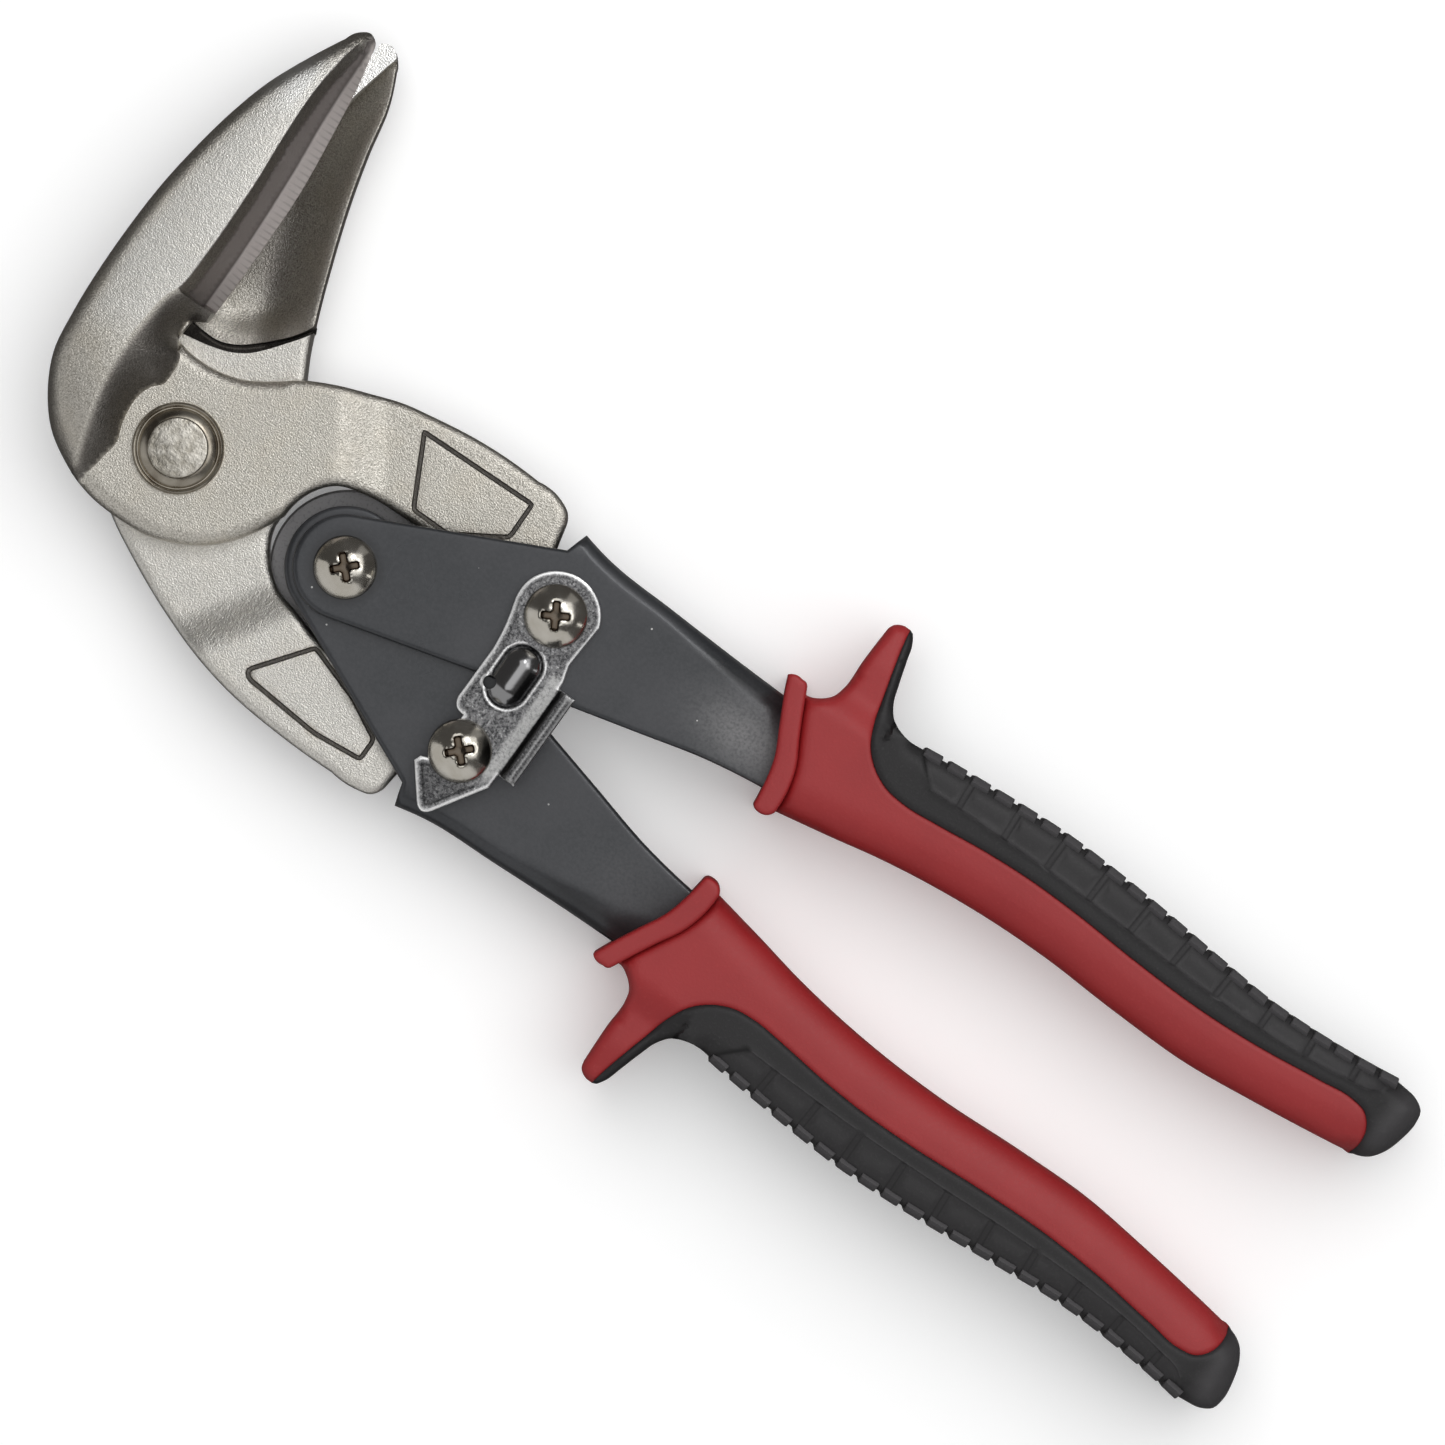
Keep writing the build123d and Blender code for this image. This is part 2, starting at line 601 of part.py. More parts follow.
box = Compound(list(nodes.values())).bounding_box()
base = Pos(-(box.min.X + box.max.X) / 2, -(box.min.Y + box.max.Y) / 2, -box.min.Z)

if __name__ == "__main__":
    os.makedirs("parts", exist_ok=True)
    for name, shape in nodes.items():
        export_step(base * shape, f"parts/{name}.step")
    print("pivot at", base.position)
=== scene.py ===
import math
from contextlib import contextmanager

import bmesh
import bpy
import numpy as np
from mathutils import Matrix, Vector
from mathutils.geometry import delaunay_2d_cdt

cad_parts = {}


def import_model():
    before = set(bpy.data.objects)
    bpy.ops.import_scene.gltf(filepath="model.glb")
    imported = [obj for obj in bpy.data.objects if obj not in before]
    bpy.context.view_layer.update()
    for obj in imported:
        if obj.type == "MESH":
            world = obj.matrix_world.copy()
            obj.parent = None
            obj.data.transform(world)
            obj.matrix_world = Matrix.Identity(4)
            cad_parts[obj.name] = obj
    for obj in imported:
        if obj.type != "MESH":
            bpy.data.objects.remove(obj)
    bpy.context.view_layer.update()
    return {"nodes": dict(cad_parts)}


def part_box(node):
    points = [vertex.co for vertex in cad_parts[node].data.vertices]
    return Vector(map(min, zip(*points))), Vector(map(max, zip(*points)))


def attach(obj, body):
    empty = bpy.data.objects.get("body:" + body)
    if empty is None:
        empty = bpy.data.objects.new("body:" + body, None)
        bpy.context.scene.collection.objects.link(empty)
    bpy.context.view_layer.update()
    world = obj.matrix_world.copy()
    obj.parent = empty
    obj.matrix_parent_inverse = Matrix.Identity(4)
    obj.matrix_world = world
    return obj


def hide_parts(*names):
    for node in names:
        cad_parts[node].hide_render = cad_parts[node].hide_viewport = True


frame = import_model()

# Lengths in this script are millimetres from the blade pivot, at the shear plane:
# u along the centre line to the grips, v towards the jaws, z towards the latch side.
MM = 0.001
low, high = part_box("blade_pivot_pin")
PIVOT = np.array((low + high) / 2)


def centre_of(node):
    """Centre of a CAD node in this script's millimetres."""
    low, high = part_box(node)
    return (np.array((low + high) / 2) - PIVOT) / MM


def levels_of(node):
    """Lowest and highest z of a CAD node in this script's millimetres."""
    low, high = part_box(node)
    return (low.z - PIVOT[2]) / MM, (high.z - PIVOT[2]) / MM


HANDLE_PIVOT = centre_of("handle_pivot_screw")[:2]
UPPER_LINK = centre_of("upper_link_screw")[:2]
LOWER_LINK = centre_of("lower_link_screw")[:2]

# ---------------- plane curves

BATCH = 4000           # points measured against a line at a time


def smooth_line(points, step):
    """Smooth curve through the points (a cubic Hermite spline), sampled about every step."""
    p = np.array(points, float)
    gaps = np.linalg.norm(np.diff(p, axis=0), axis=1)
    at = np.concatenate([[0], np.cumsum(gaps)])
    slope = np.gradient(p, at, axis=0, edge_order=2 if len(p) > 2 else 1)
    out = []
    for i, gap in enumerate(gaps):
        n = max(2, int(round(gap / step)))
        t = np.linspace(0, 1, n, endpoint=False)[:, None]
        h00, h10 = 2 * t**3 - 3 * t**2 + 1, t**3 - 2 * t**2 + t
        h01, h11 = -2 * t**3 + 3 * t**2, t**3 - t**2
        out.append(h00 * p[i] + h10 * gap * slope[i] + h01 * p[i + 1] + h11 * gap * slope[i + 1])
    out.append(p[-1:])
    return np.vstack(out)


def trace(start, *runs, step=0.5):
    """Outline made of runs: a run of one point is straight, a longer one is a smooth curve."""
    here, out = start, []
    for run in runs:
        out.append(smooth_line([here] + list(run), step)[:-1])
        here = run[-1]
    line = np.vstack(out)
    if np.linalg.norm(np.array(here, float) - line[0]) > 1e-6:
        line = np.vstack([line, [here]])
    return line


def circle(centre, radius, step=0.5):
    """Closed circle with a point about every step, and 16 at least."""
    n = max(16, int(2 * math.pi * radius / step))
    a = np.linspace(0, 2 * math.pi, n, endpoint=False)
    return np.stack([centre[0] + radius * np.cos(a), centre[1] + radius * np.sin(a)], axis=1)


def polar(centre, radius, degrees):
    """Point on a circle."""
    angle = math.radians(degrees)
    return (centre[0] + radius * math.cos(angle), centre[1] + radius * math.sin(angle))


def polygon(*corners, radius, step=0.7):
    """Closed line with straight sides and small rounded corners."""
    c = np.array(corners, float)
    out = []
    for before, here, after in zip(np.roll(c, 1, axis=0), c, np.roll(c, -1, axis=0)):
        onward = (after - here) / np.linalg.norm(after - here) * radius
        a = here + (before - here) / np.linalg.norm(before - here) * radius
        b = here + onward
        out += [a, 0.25 * a + 0.5 * here + 0.25 * b, b]
        far = after - onward
        n = max(1, int(np.linalg.norm(far - b) / step))
        out += [b + (far - b) * k / n for k in range(1, n)]
    return np.array(out)


def moved(line, ahead, distance):
    """Line moved to the left of its direction, which is ahead at each point."""
    ahead = ahead / np.maximum(np.linalg.norm(ahead, axis=1), 1e-9)[:, None]
    return line + np.stack([-ahead[:, 1], ahead[:, 0]], axis=1) * distance


def inset(loop, distance):
    """Closed line moved sideways, to its left where distance is positive."""
    return moved(loop, np.roll(loop, -1, axis=0) - np.roll(loop, 1, axis=0), distance)


def inset_open(line, distance):
    """Open line moved sideways, to its left where distance is positive."""
    return moved(line, np.gradient(line, axis=0), distance)


def closed(loop):
    """Loop with its first point again at the end."""
    return np.vstack([loop, loop[:1]])


def to_line(points, line, closed=False):
    """Distance from each point to a line, and which side of it: 1 is left of its direction."""
    a = np.array(line, float)
    b = np.roll(a, -1, axis=0) if closed else a[1:]
    a = a if closed else a[:-1]
    d = b - a
    length2 = np.maximum((d**2).sum(1), 1e-12)
    best = np.full(len(points), 1e9)
    side = np.zeros(len(points))
    for lo in range(0, len(points), BATCH):
        p = points[lo:lo + BATCH]
        rel = p[:, None, :] - a[None]
        t = np.clip((rel * d[None]).sum(2) / length2, 0, 1)
        off = rel - t[..., None] * d[None]
        dist2 = (off**2).sum(2)
        k = dist2.argmin(1)
        rows = np.arange(len(p))
        best[lo:lo + BATCH] = np.sqrt(dist2[rows, k])
        cross = d[k, 0] * rel[rows, k, 1] - d[k, 1] * rel[rows, k, 0]
        side[lo:lo + BATCH] = np.sign(cross)
    return best, side


def apart(points, line, closed=False):
    """Distance from each point to a line."""
    return to_line(points, line, closed)[0]


def inside(points, loop):
    """Even-odd test of points against a closed line."""
    a = np.array(loop, float)
    b = np.roll(a, -1, axis=0)
    result = np.zeros(len(points), bool)
    for lo in range(0, len(points), BATCH):
        p = points[lo:lo + BATCH]
        x, y = p[:, 0][:, None], p[:, 1][:, None]
        crosses = (a[None, :, 1] > y) != (b[None, :, 1] > y)
        rise = np.where(np.abs(b[:, 1] - a[:, 1]) < 1e-12, 1e-12, b[:, 1] - a[:, 1])
        xs = a[None, :, 0] + (y - a[None, :, 1]) * ((b[:, 0] - a[:, 0]) / rise)[None]
        result[lo:lo + BATCH] = (crosses & (x < xs)).sum(1) % 2 == 1
    return result


def ease(x):
    """Smooth step from 0 to 1."""
    x = np.clip(x, 0, 1)
    return x * x * (3 - 2 * x)


def round_drop(d, radius, drop=None):
    """How far a rounded edge lies below its face, at distance d from the rim."""
    x = np.clip(1 - d / radius, 0, 1)
    return (radius if drop is None else drop) * (1 - np.sqrt(np.maximum(1 - x * x, 0)))


# ---------------- meshes

RING_MARGIN = 0.96     # part of its own inset that a ring's point keeps from every loop
ROW_RATIO = 0.866      # height of a row in a grid of even triangles
TURNED_SIDES = 96
SHANK_SIDES = 48


def triangulate(rim, creases, step, rings, holes=()):
    """Points and triangles that fill an outline, with rings along its rim and edges on creases."""
    loops = [rim] + list(holes)
    fixed = [np.array(line, float) for line in loops + list(creases)]
    edges, base = [], 0
    for index, line in enumerate(fixed):
        n = len(line)
        edges += [(base + i, base + i + 1) for i in range(n - 1)]
        if index < len(loops):
            edges.append((base + n - 1, base))
        base += n
    lines = np.vstack(fixed)
    extra = []
    for loop in fixed[:len(loops)]:
        for sign in (1, -1):
            extra += [(inset(loop, sign * ring), ring * RING_MARGIN) for ring in rings]
    x0, y0 = rim.min(0)
    x1, y1 = rim.max(0)
    xs = np.arange(x0, x1, step)
    ys = np.arange(y0, y1, step * ROW_RATIO)
    grid = np.array([(x + (step / 2 if j % 2 else 0), y) for j, y in enumerate(ys) for x in xs])
    extra.append((grid, max(rings) + step * 0.5))
    kept = []
    for candidates, margin in extra:
        candidates = candidates[inside(candidates, rim)]
        for hole in holes:
            candidates = candidates[~inside(candidates, hole)]
        if not len(candidates):
            continue
        gap = np.full(len(candidates), 1e9)
        for loop in loops:
            gap = np.minimum(gap, apart(candidates, loop, True))
        keep = gap >= margin
        for crease in creases:
            keep &= apart(candidates, crease) > min(0.45 * step, 0.2 + 0.2 * step)
        kept.append(candidates[keep])
    points = np.vstack([lines] + kept)
    out, _, faces, _, _, _ = delaunay_2d_cdt([Vector(p) for p in points], edges, [], 1, 1e-5)
    out = np.array([(p.x, p.y) for p in out])
    tris = np.array([f for f in faces if len(f) == 3])
    middle = out[tris].mean(1)
    keep = inside(middle, rim)
    for hole in holes:
        keep &= ~inside(middle, hole)
    return out, tris[keep]


def add_object(name, verts, faces, material, sharp, attributes=None):
    """Mesh object from millimetre points, smooth shaded with edges over sharp degrees kept."""
    mesh = bpy.data.meshes.new(name)
    co = np.array(verts, float) * MM + PIVOT
    mesh.from_pydata(co.tolist(), [], [tuple(int(i) for i in f) for f in faces])
    mesh.validate()
    for key, values in (attributes or {}).items():
        layer = mesh.attributes.new(key, "FLOAT", "POINT")
        layer.data.foreach_set("value", np.array(values, np.float32))
    mesh.update()
    mesh.shade_smooth()
    mesh.set_sharp_from_angle(angle=math.radians(sharp))
    mesh.materials.append(material)
    obj = bpy.data.objects.new(name, mesh)
    bpy.context.scene.collection.objects.link(obj)
    return obj


def relief(name, rim, creases, top, bottom, material, step, rings, sharp, holes=(), tones=None):
    """Solid with a shaped top and bottom over one outline, and a wall along its rim."""
    points, tris = triangulate(rim, creases, step, rings, holes)
    used = np.unique(tris)
    renumber = np.full(len(points), -1)
    renumber[used] = np.arange(len(used))
    points, tris = points[used], renumber[tris]
    z_top, z_bottom = top(points), bottom(points)
    a, b, c = points[tris[:, 0]], points[tris[:, 1]], points[tris[:, 2]]
    area = (b[:, 0] - a[:, 0]) * (c[:, 1] - a[:, 1]) - (b[:, 1] - a[:, 1]) * (c[:, 0] - a[:, 0])
    tris[area < 0] = tris[area < 0][:, ::-1]
    count = len(points)
    verts = np.vstack([np.column_stack([points, z_top]), np.column_stack([points, z_bottom])])
    edges = np.vstack([tris[:, [0, 1]], tris[:, [1, 2]], tris[:, [2, 0]]])
    seen = {(int(x), int(y)) for x, y in edges}
    border = [(x, y) for x, y in seen if (y, x) not in seen]
    faces = tris.tolist() + (tris[:, ::-1] + count).tolist()
    faces += [(x, x + count, y + count, y) for x, y in border]
    attributes = {}
    for key, values in (tones(points, z_top) if tones else {}).items():
        attributes[key] = np.concatenate([values, values])
    return add_object(name, verts, faces, material, sharp, attributes)


@contextmanager
def editing(obj):
    """The piece's mesh as a bmesh, which is written back afterwards."""
    bm = bmesh.new()
    bm.from_mesh(obj.data)
    yield bm
    bm.to_mesh(obj.data)
    bm.free()


def fix_normals(obj):
    with editing(obj) as bm:
        bmesh.ops.recalc_face_normals(bm, faces=bm.faces)


def mirror_down(obj, shift=0.0):
    """Mirrors a piece about the centre line into the lower handle's place, then shifts it along u."""
    with editing(obj) as bm:
        for vert in bm.verts:
            vert.co.x += shift * MM
            vert.co.y = 2 * PIVOT[1] - vert.co.y
        bmesh.ops.reverse_faces(bm, faces=bm.faces)


def belongs(piece, body, slot, node=None):
    """Makes the piece ride on its body, in place of a CAD node when one is given; slot is not used."""
    if node:
        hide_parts(node)
    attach(piece, body)


def turned_mesh(centre, profile, count):
    """Points and faces of a solid of revolution about a pivot line, from a list of radius and z."""
    verts, faces, rows = [], [], []
    for r, z in profile:
        angles = [0.0] if r < 1e-6 else np.linspace(0, 2 * math.pi, count, endpoint=False)
        rows.append(range(len(verts), len(verts) + len(angles)))
        verts += [(centre[0] + r * math.cos(a), centre[1] + r * math.sin(a), z) for a in angles]
    for lower, upper in zip(rows, rows[1:]):
        for k in range(count):
            n = (k + 1) % count
            if len(lower) == 1:
                faces.append((lower[0], upper[n], upper[k]))
            elif len(upper) == 1:
                faces.append((lower[k], lower[n], upper[0]))
            else:
                faces.append((lower[k], lower[n], upper[n], upper[k]))
    return verts, faces


def turned(name, centre, profile, material, sharp=35):
    verts, faces = turned_mesh(centre, profile, TURNED_SIDES)
    obj = add_object(name, verts, faces, material, sharp)
    fix_normals(obj)
    return obj


# ---------------- materials


class Mat:
    """Small helper that builds one node material."""

    def __init__(self, name, metallic, roughness):
        self.material = bpy.data.materials.new(name)
        self.material.use_nodes = True
        self.tree = self.material.node_tree
        self.shader = next(n for n in self.tree.nodes if n.type == "BSDF_PRINCIPLED")
        self.shader.inputs["Metallic"].default_value = metallic
        self.shader.inputs["Roughness"].default_value = roughness
        self.place = self.node("ShaderNodeTexCoord").outputs["Object"]
        self.height = None

    def node(self, kind, **settings):
        made = self.tree.nodes.new(kind)
        for key, value in settings.items():
            if key in made.inputs.keys():
                made.inputs[key].default_value = value
            else:
                setattr(made, key, value)
        return made

    def link(self, a, b):
        self.tree.links.new(a, b)

    def noise(self, size, detail=3.0, rough=0.5, stretch=None):
        """Noise from 0 to 1 whose features are about size millimetres.

        stretch is a scale in x, y and z, and a turn about z.
        """
        place = self.place
        if stretch:
            turn = self.node("ShaderNodeMapping")
            turn.inputs["Scale"].default_value = stretch[:3]
            turn.inputs["Rotation"].default_value = (0, 0, stretch[3])
            self.link(place, turn.inputs["Vector"])
            place = turn.outputs["Vector"]
        scale = 1 / (size * MM)
        made = self.node("ShaderNodeTexNoise", Scale=scale, Detail=detail, Roughness=rough)
        self.link(place, made.inputs["Vector"])
        return made.outputs["Fac"]

    def span(self, value, low, high, to_low=0.0, to_high=1.0):
        """Value from low..high moved to to_low..to_high, clamped."""
        made = self.node("ShaderNodeMapRange")
        made.inputs["From Min"].default_value, made.inputs["From Max"].default_value = low, high
        made.inputs["To Min"].default_value, made.inputs["To Max"].default_value = to_low, to_high
        self.link(value, made.inputs["Value"])
        return made.outputs["Result"]

    def attribute(self, name):
        return self.node("ShaderNodeAttribute", attribute_name=name).outputs["Fac"]

    def fill(self, sockets, values):
        """Gives each socket its number, colour or link."""
        for socket, value in zip(sockets, values):
            if isinstance(value, (int, float)):
                socket.default_value = value
            elif isinstance(value, tuple):
                socket.default_value = (*value, 1.0)
            else:
                self.link(value, socket)

    def maths(self, operation, a, b):
        made = self.node("ShaderNodeMath", operation=operation)
        self.fill(made.inputs, (a, b))
        return made.outputs["Value"]

    def times(self, a, b):
        return self.maths("MULTIPLY", a, b)

    def mix(self, fac, a, b):
        """Colour mix; a and b are colours or sockets."""
        made = self.node("ShaderNodeMix", data_type="RGBA")
        self.fill((made.inputs[0], made.inputs[6], made.inputs[7]), (fac, a, b))
        return made.outputs[2]

    def bump(self, height, strength, depth):
        """Adds a bump of the given depth in millimetres on top of the ones before."""
        made = self.node("ShaderNodeBump", Strength=strength, Distance=depth * MM)
        self.link(height, made.inputs["Height"])
        if self.height is not None:
            self.link(self.height, made.inputs["Normal"])
        self.height = made.outputs["Normal"]
        self.link(self.height, self.shader.inputs["Normal"])

    def finish(self, colour, roughness=None):
        self.link(colour, self.shader.inputs["Base Color"])
        if roughness is not None:
            self.link(roughness, self.shader.inputs["Roughness"])
        return self.material


def srgb(*levels):
    """Linear colour from sRGB levels of 0 to 255."""
    parts = (c / 255 for c in levels)
    return tuple(c / 12.92 if c <= 0.04045 else ((c + 0.055) / 1.055) ** 2.4 for c in parts)


def forged_steel():
    """Satin nickel plate over a cast skin, with ground bevels, polished lands, painted shade and painted
    highlights.

    The tones on the points are ground (1 to 2), painted shade (to 1, and to 2 nearly black), polished
    lands with painted light and highlights, and edge, for marks along the cutting edge.
    """
    m = Mat("forged_steel", 1.0, 0.36)
    fine, coarse, cloud = m.noise(0.27, 2, 0.6), m.noise(1.1, 3), m.noise(9, 2)
    ground, shade, polish_and_highlight = m.attribute("ground"), m.attribute("shade"), m.attribute("polish_and_highlight")
    tone = m.mix(m.span(fine, 0.34, 0.66), srgb(168, 164, 155), srgb(236, 232, 223))
    tone = m.mix(m.span(cloud, 0.35, 0.65, 0, 0.35), tone, srgb(198, 193, 183))
    tone = m.mix(m.span(m.noise(6, 2), 0.5, 0.68, 0, 0.22), tone, srgb(204, 195, 178))
    tone = m.mix(m.span(coarse, 0.71, 0.76, 0, 0.5), tone, srgb(112, 104, 96))
    tone = m.mix(m.span(ground, 0, 1), tone, srgb(168, 161, 158))
    tone = m.mix(m.span(ground, 1.4, 2), tone, srgb(202, 195, 192))
    # Painted shade: darker where shade falls, and nearly black at 2.
    tone = m.mix(m.span(shade, 0, 1, 0, 0.62), tone, srgb(66, 59, 59))
    tone = m.mix(m.span(shade, 1, 2), tone, srgb(14, 13, 12))
    # Near white: polished lands painted brighter, a painted highlight on the crown and painted light on the
    # lower blade's flats.
    tone = m.mix(polish_and_highlight, tone, srgb(246, 246, 244))
    rough = m.span(coarse, 0.3, 0.7, 0.32, 0.42)
    rough = m.maths("ADD", rough, m.span(ground, 0, 2, 0, 0.22))
    rough = m.maths("SUBTRACT", rough, m.span(polish_and_highlight, 0.9, 1, 0, 0.2))
    skin = m.times(fine, m.span(ground, 0, 0.8, 1, 0.12))
    m.link(m.span(ground, 0.8, 2, 1, 0.74), m.shader.inputs["Metallic"])
    m.bump(coarse, 0.5, 0.12)
    m.bump(skin, 0.95, 0.13)
    marks = m.noise(0.35, 2, stretch=(0.25, 1, 0.25, 0))
    m.bump(m.times(marks, m.attribute("edge")), 0.8, 0.08)
    return m.finish(tone, rough)


def plated(name, light, dark, roughness):
    """Smooth plated steel with faint haze, small pits and painted shade in its cross recess."""
    m = Mat(name, 1.0, roughness)
    haze, fine = m.noise(3.2, 3), m.noise(0.3, 2)
    tone = m.mix(m.span(haze, 0.35, 0.65), dark, light)
    # Painted shade in the cross recess.
    tone = m.mix(m.attribute("shade"), tone, srgb(76, 65, 53))
    m.bump(m.noise(1.4, 3), 0.25, 0.04)
    m.bump(m.span(fine, 0.62, 0.72), 0.2, 0.02)
    return m.finish(tone, m.span(haze, 0.3, 0.7, roughness - 0.06, roughness + 0.08))


def mottled_pin():
    """Peened pin end: nickel with uneven hammered patches."""
    m = Mat("peened_steel", 1.0, 0.35)
    patches, fine = m.noise(2.1, 4, 0.65), m.noise(0.5, 2)
    tone = m.mix(m.span(patches, 0.4, 0.6), srgb(166, 161, 150), srgb(212, 208, 199))
    m.bump(patches, 0.9, 0.35)
    m.bump(fine, 0.5, 0.05)
    return m.finish(tone, m.span(patches, 0.3, 0.7, 0.28, 0.46))


def gunmetal():
    """Dark grey coated sheet steel with a few bright flecks, painted light and painted shade."""
    m = Mat("gunmetal_coat", 0.35, 0.3)
    m.shader.inputs["Specular IOR Level"].default_value = 0.6
    cloud, fine = m.noise(14, 3), m.noise(0.5, 2)
    dots = m.node("ShaderNodeTexVoronoi", Scale=1 / (4.2 * MM))
    m.link(m.place, dots.inputs["Vector"])
    dot = m.span(dots.outputs["Distance"], 0.03, 0.045, 1, 0)
    fleck = m.times(dot, m.span(m.noise(6, 2), 0.5, 0.55))
    tone = m.mix(m.span(cloud, 0.35, 0.65), srgb(46, 48, 51), srgb(56, 57, 60))
    tone = m.mix(m.span(fine, 0.35, 0.7, 0, 0.3), tone, srgb(66, 67, 70))
    # Painted light: a pool of light before the grip, a highlight along the web's fold, and the guard disc lit
    # all over.
    lift = m.times(m.attribute("lift"), m.span(fine, 0.3, 0.6, 0.65, 1.25))
    tone = m.mix(lift, tone, srgb(116, 115, 116))
    # Painted shade: a ring round the screw head and a band along the fold.
    tone = m.mix(m.attribute("shade"), tone, srgb(20, 20, 22))
    tone = m.mix(fleck, tone, srgb(190, 190, 188))
    m.bump(m.noise(2.4, 3), 0.25, 0.08)
    m.bump(fine, 0.35, 0.03)
    return m.finish(tone, m.span(cloud, 0.3, 0.7, 0.27, 0.36))


def zinc():
    """Zinc plate, brushed and speckled, with polished cut edges, painted highlights and painted shade."""
    m = Mat("zinc_plate", 1.0, 0.4)
    fine, streak = m.noise(0.42, 3, 0.75), m.noise(0.6, 2, stretch=(1, 0.35, 1, 0.9))
    bright, edge, polish_and_highlight = m.attribute("bright"), m.attribute("edge"), m.attribute("polish_and_highlight")
    tone = m.mix(m.span(fine, 0.38, 0.62), srgb(62, 62, 64), srgb(146, 146, 147))
    tone = m.mix(m.span(fine, 0.62, 0.72), tone, srgb(215, 215, 214))
    tone = m.mix(m.span(streak, 0.55, 0.75, 0, 0.4), tone, srgb(178, 178, 178))
    tone = m.mix(m.times(bright, m.span(fine, 0.3, 0.6, 0.35, 0.9)), tone, srgb(196, 196, 195))
    # Polished cut edges with a painted highlight along them, round the oblong and round the pinned hole.
    tone = m.mix(m.times(edge, m.span(fine, 0.32, 0.55, 0.8, 1)), tone, srgb(250, 250, 250))
    tone = m.mix(polish_and_highlight, tone, srgb(150, 150, 151))
    # Painted shade in the bend and round the oblong's foot; darker towards the lower tip.
    tone = m.mix(m.attribute("shade"), tone, srgb(26, 26, 27))
    grain = m.times(fine, m.span(m.maths("MAXIMUM", edge, polish_and_highlight), 0, 1, 1, 0))
    m.bump(grain, 0.6, 0.06)
    m.link(m.span(edge, 0, 1, 1, 0.45), m.shader.inputs["Metallic"])
    return m.finish(tone, m.span(grain, 0.0, 0.7, 0.19, 0.5))


def spring_wire():
    """Grey drawn wire."""
    m = Mat("spring_wire", 1.0, 0.35)
    fine = m.noise(0.5, 2)
    m.bump(fine, 0.3, 0.03)
    return m.finish(m.mix(m.span(fine, 0.35, 0.65), srgb(96, 94, 92), srgb(136, 134, 130)))


# How much lighter the wear and painted sheen make the surface, and how dark the painted shade in cut lines
# is.
WEAR_AND_SHEEN_GAIN, CUT_SHADE_GAIN = 4, 0.3


def plastic(name, base, dark, light, grain, roughness, gloss):
    """Moulded plastic or rubber with fine grain, slight unevenness of tone, wear and painted sheen on ridges,
    and painted shade in cut lines.
    """
    m = Mat(name, 0.0, roughness)
    m.shader.inputs["Specular IOR Level"].default_value = gloss
    fine, cloud = m.noise(grain, 2), m.noise(11, 3)
    tone = m.mix(m.span(cloud, 0.35, 0.7, 0, 0.6), base, dark)
    tone = m.mix(m.span(fine, 0.55, 0.8, 0, 0.35), tone, light)
    # Lighter where the surface wears, and painted sheen and highlights.
    tone = m.mix(m.attribute("wear_and_sheen"), tone, tuple(c * WEAR_AND_SHEEN_GAIN for c in base))
    # Painted shade in cut lines.
    tone = m.mix(m.attribute("shade"), tone, tuple(c * CUT_SHADE_GAIN for c in dark))
    m.bump(m.noise(4.5, 3), 0.2, 0.12)
    m.bump(fine, 0.5, 0.05)
    return m.finish(tone, m.span(fine, 0.3, 0.7, roughness - 0.05, roughness + 0.07))


FINISH = {
    "steel": forged_steel(),
    "pin": mottled_pin(),
    "screw": plated("warm_nickel", srgb(206, 202, 193), srgb(190, 185, 174), 0.17),
    "washer": plated("washer_steel", srgb(190, 190, 190), srgb(150, 150, 150), 0.34),
    "collar": plated("collar_steel", srgb(172, 166, 154), srgb(128, 120, 108), 0.27),
    "gunmetal": gunmetal(),
    "zinc": zinc(),
    "spring": spring_wire(),
    "red": plastic(
        "red_plastic", srgb(148, 27, 30), srgb(138, 22, 26), srgb(164, 48, 50),
        grain=0.5, roughness=0.52, gloss=0.38,
    ),
    "black": plastic(
        "black_rubber", srgb(34, 33, 34), srgb(29, 28, 29), srgb(58, 57, 58),
        grain=0.5, roughness=0.5, gloss=0.28,
    ),
}

# The CAD nodes that no piece replaces, by finish.
CAD_FINISH = {
    "washer": (
        "handle_pivot_nut", "handle_pivot_spacer", "upper_link_nut", "upper_tail_bush",
        "upper_tail_washers", "lower_link_nut", "lower_tail_bush",
    ),
    "spring": ("return_spring",),
    "zinc": ("latch_washer",),
}
for finish, nodes in CAD_FINISH.items():
    for node in nodes:
        node_mesh = frame["nodes"][node].data
        node_mesh.materials.clear()
        node_mesh.materials.append(FINISH[finish])
# ---------------- blades

SHEAR = 0.05           # gap between each blade's inner face and the shear plane
FLAT = 4.6             # outer face round the pivot
TAIL = 2.5             # half thickness of a tail, which lies on the shear plane
PIN_HOLE = 4.94
BUSH_HOLE = 4.54
TAIL_RADIUS = 8.8
JOG_SKEW = math.radians(32)
JOG_LENGTH = 9.0
JOG_CLEAR = 6.0
UPPER_JOG, LOWER_JOG = (15, 22.6), (15, -21.2)
TICK_RATE = 2 * math.pi / 1.1      # teeth of the upper blade's edge, one each 1.1 mm
TICK_WIDTH = 0.275
LINE_INSETS = (0.2, 0.65, 0.85)    # where a panel's engraved line drops, rises and ends
RINGS = (0.12, 0.3, 0.55, 0.9, 1.4)


def jog(points, start, sign):
    """0 on the flat round the pivot, 1 on the tail."""
    along, across = points[:, 0] - start[0], points[:, 1] - start[1]
    s = along * math.cos(JOG_SKEW) + sign * across * math.sin(JOG_SKEW)
    return ease(s / JOG_LENGTH) * (points[:, 0] > JOG_CLEAR)


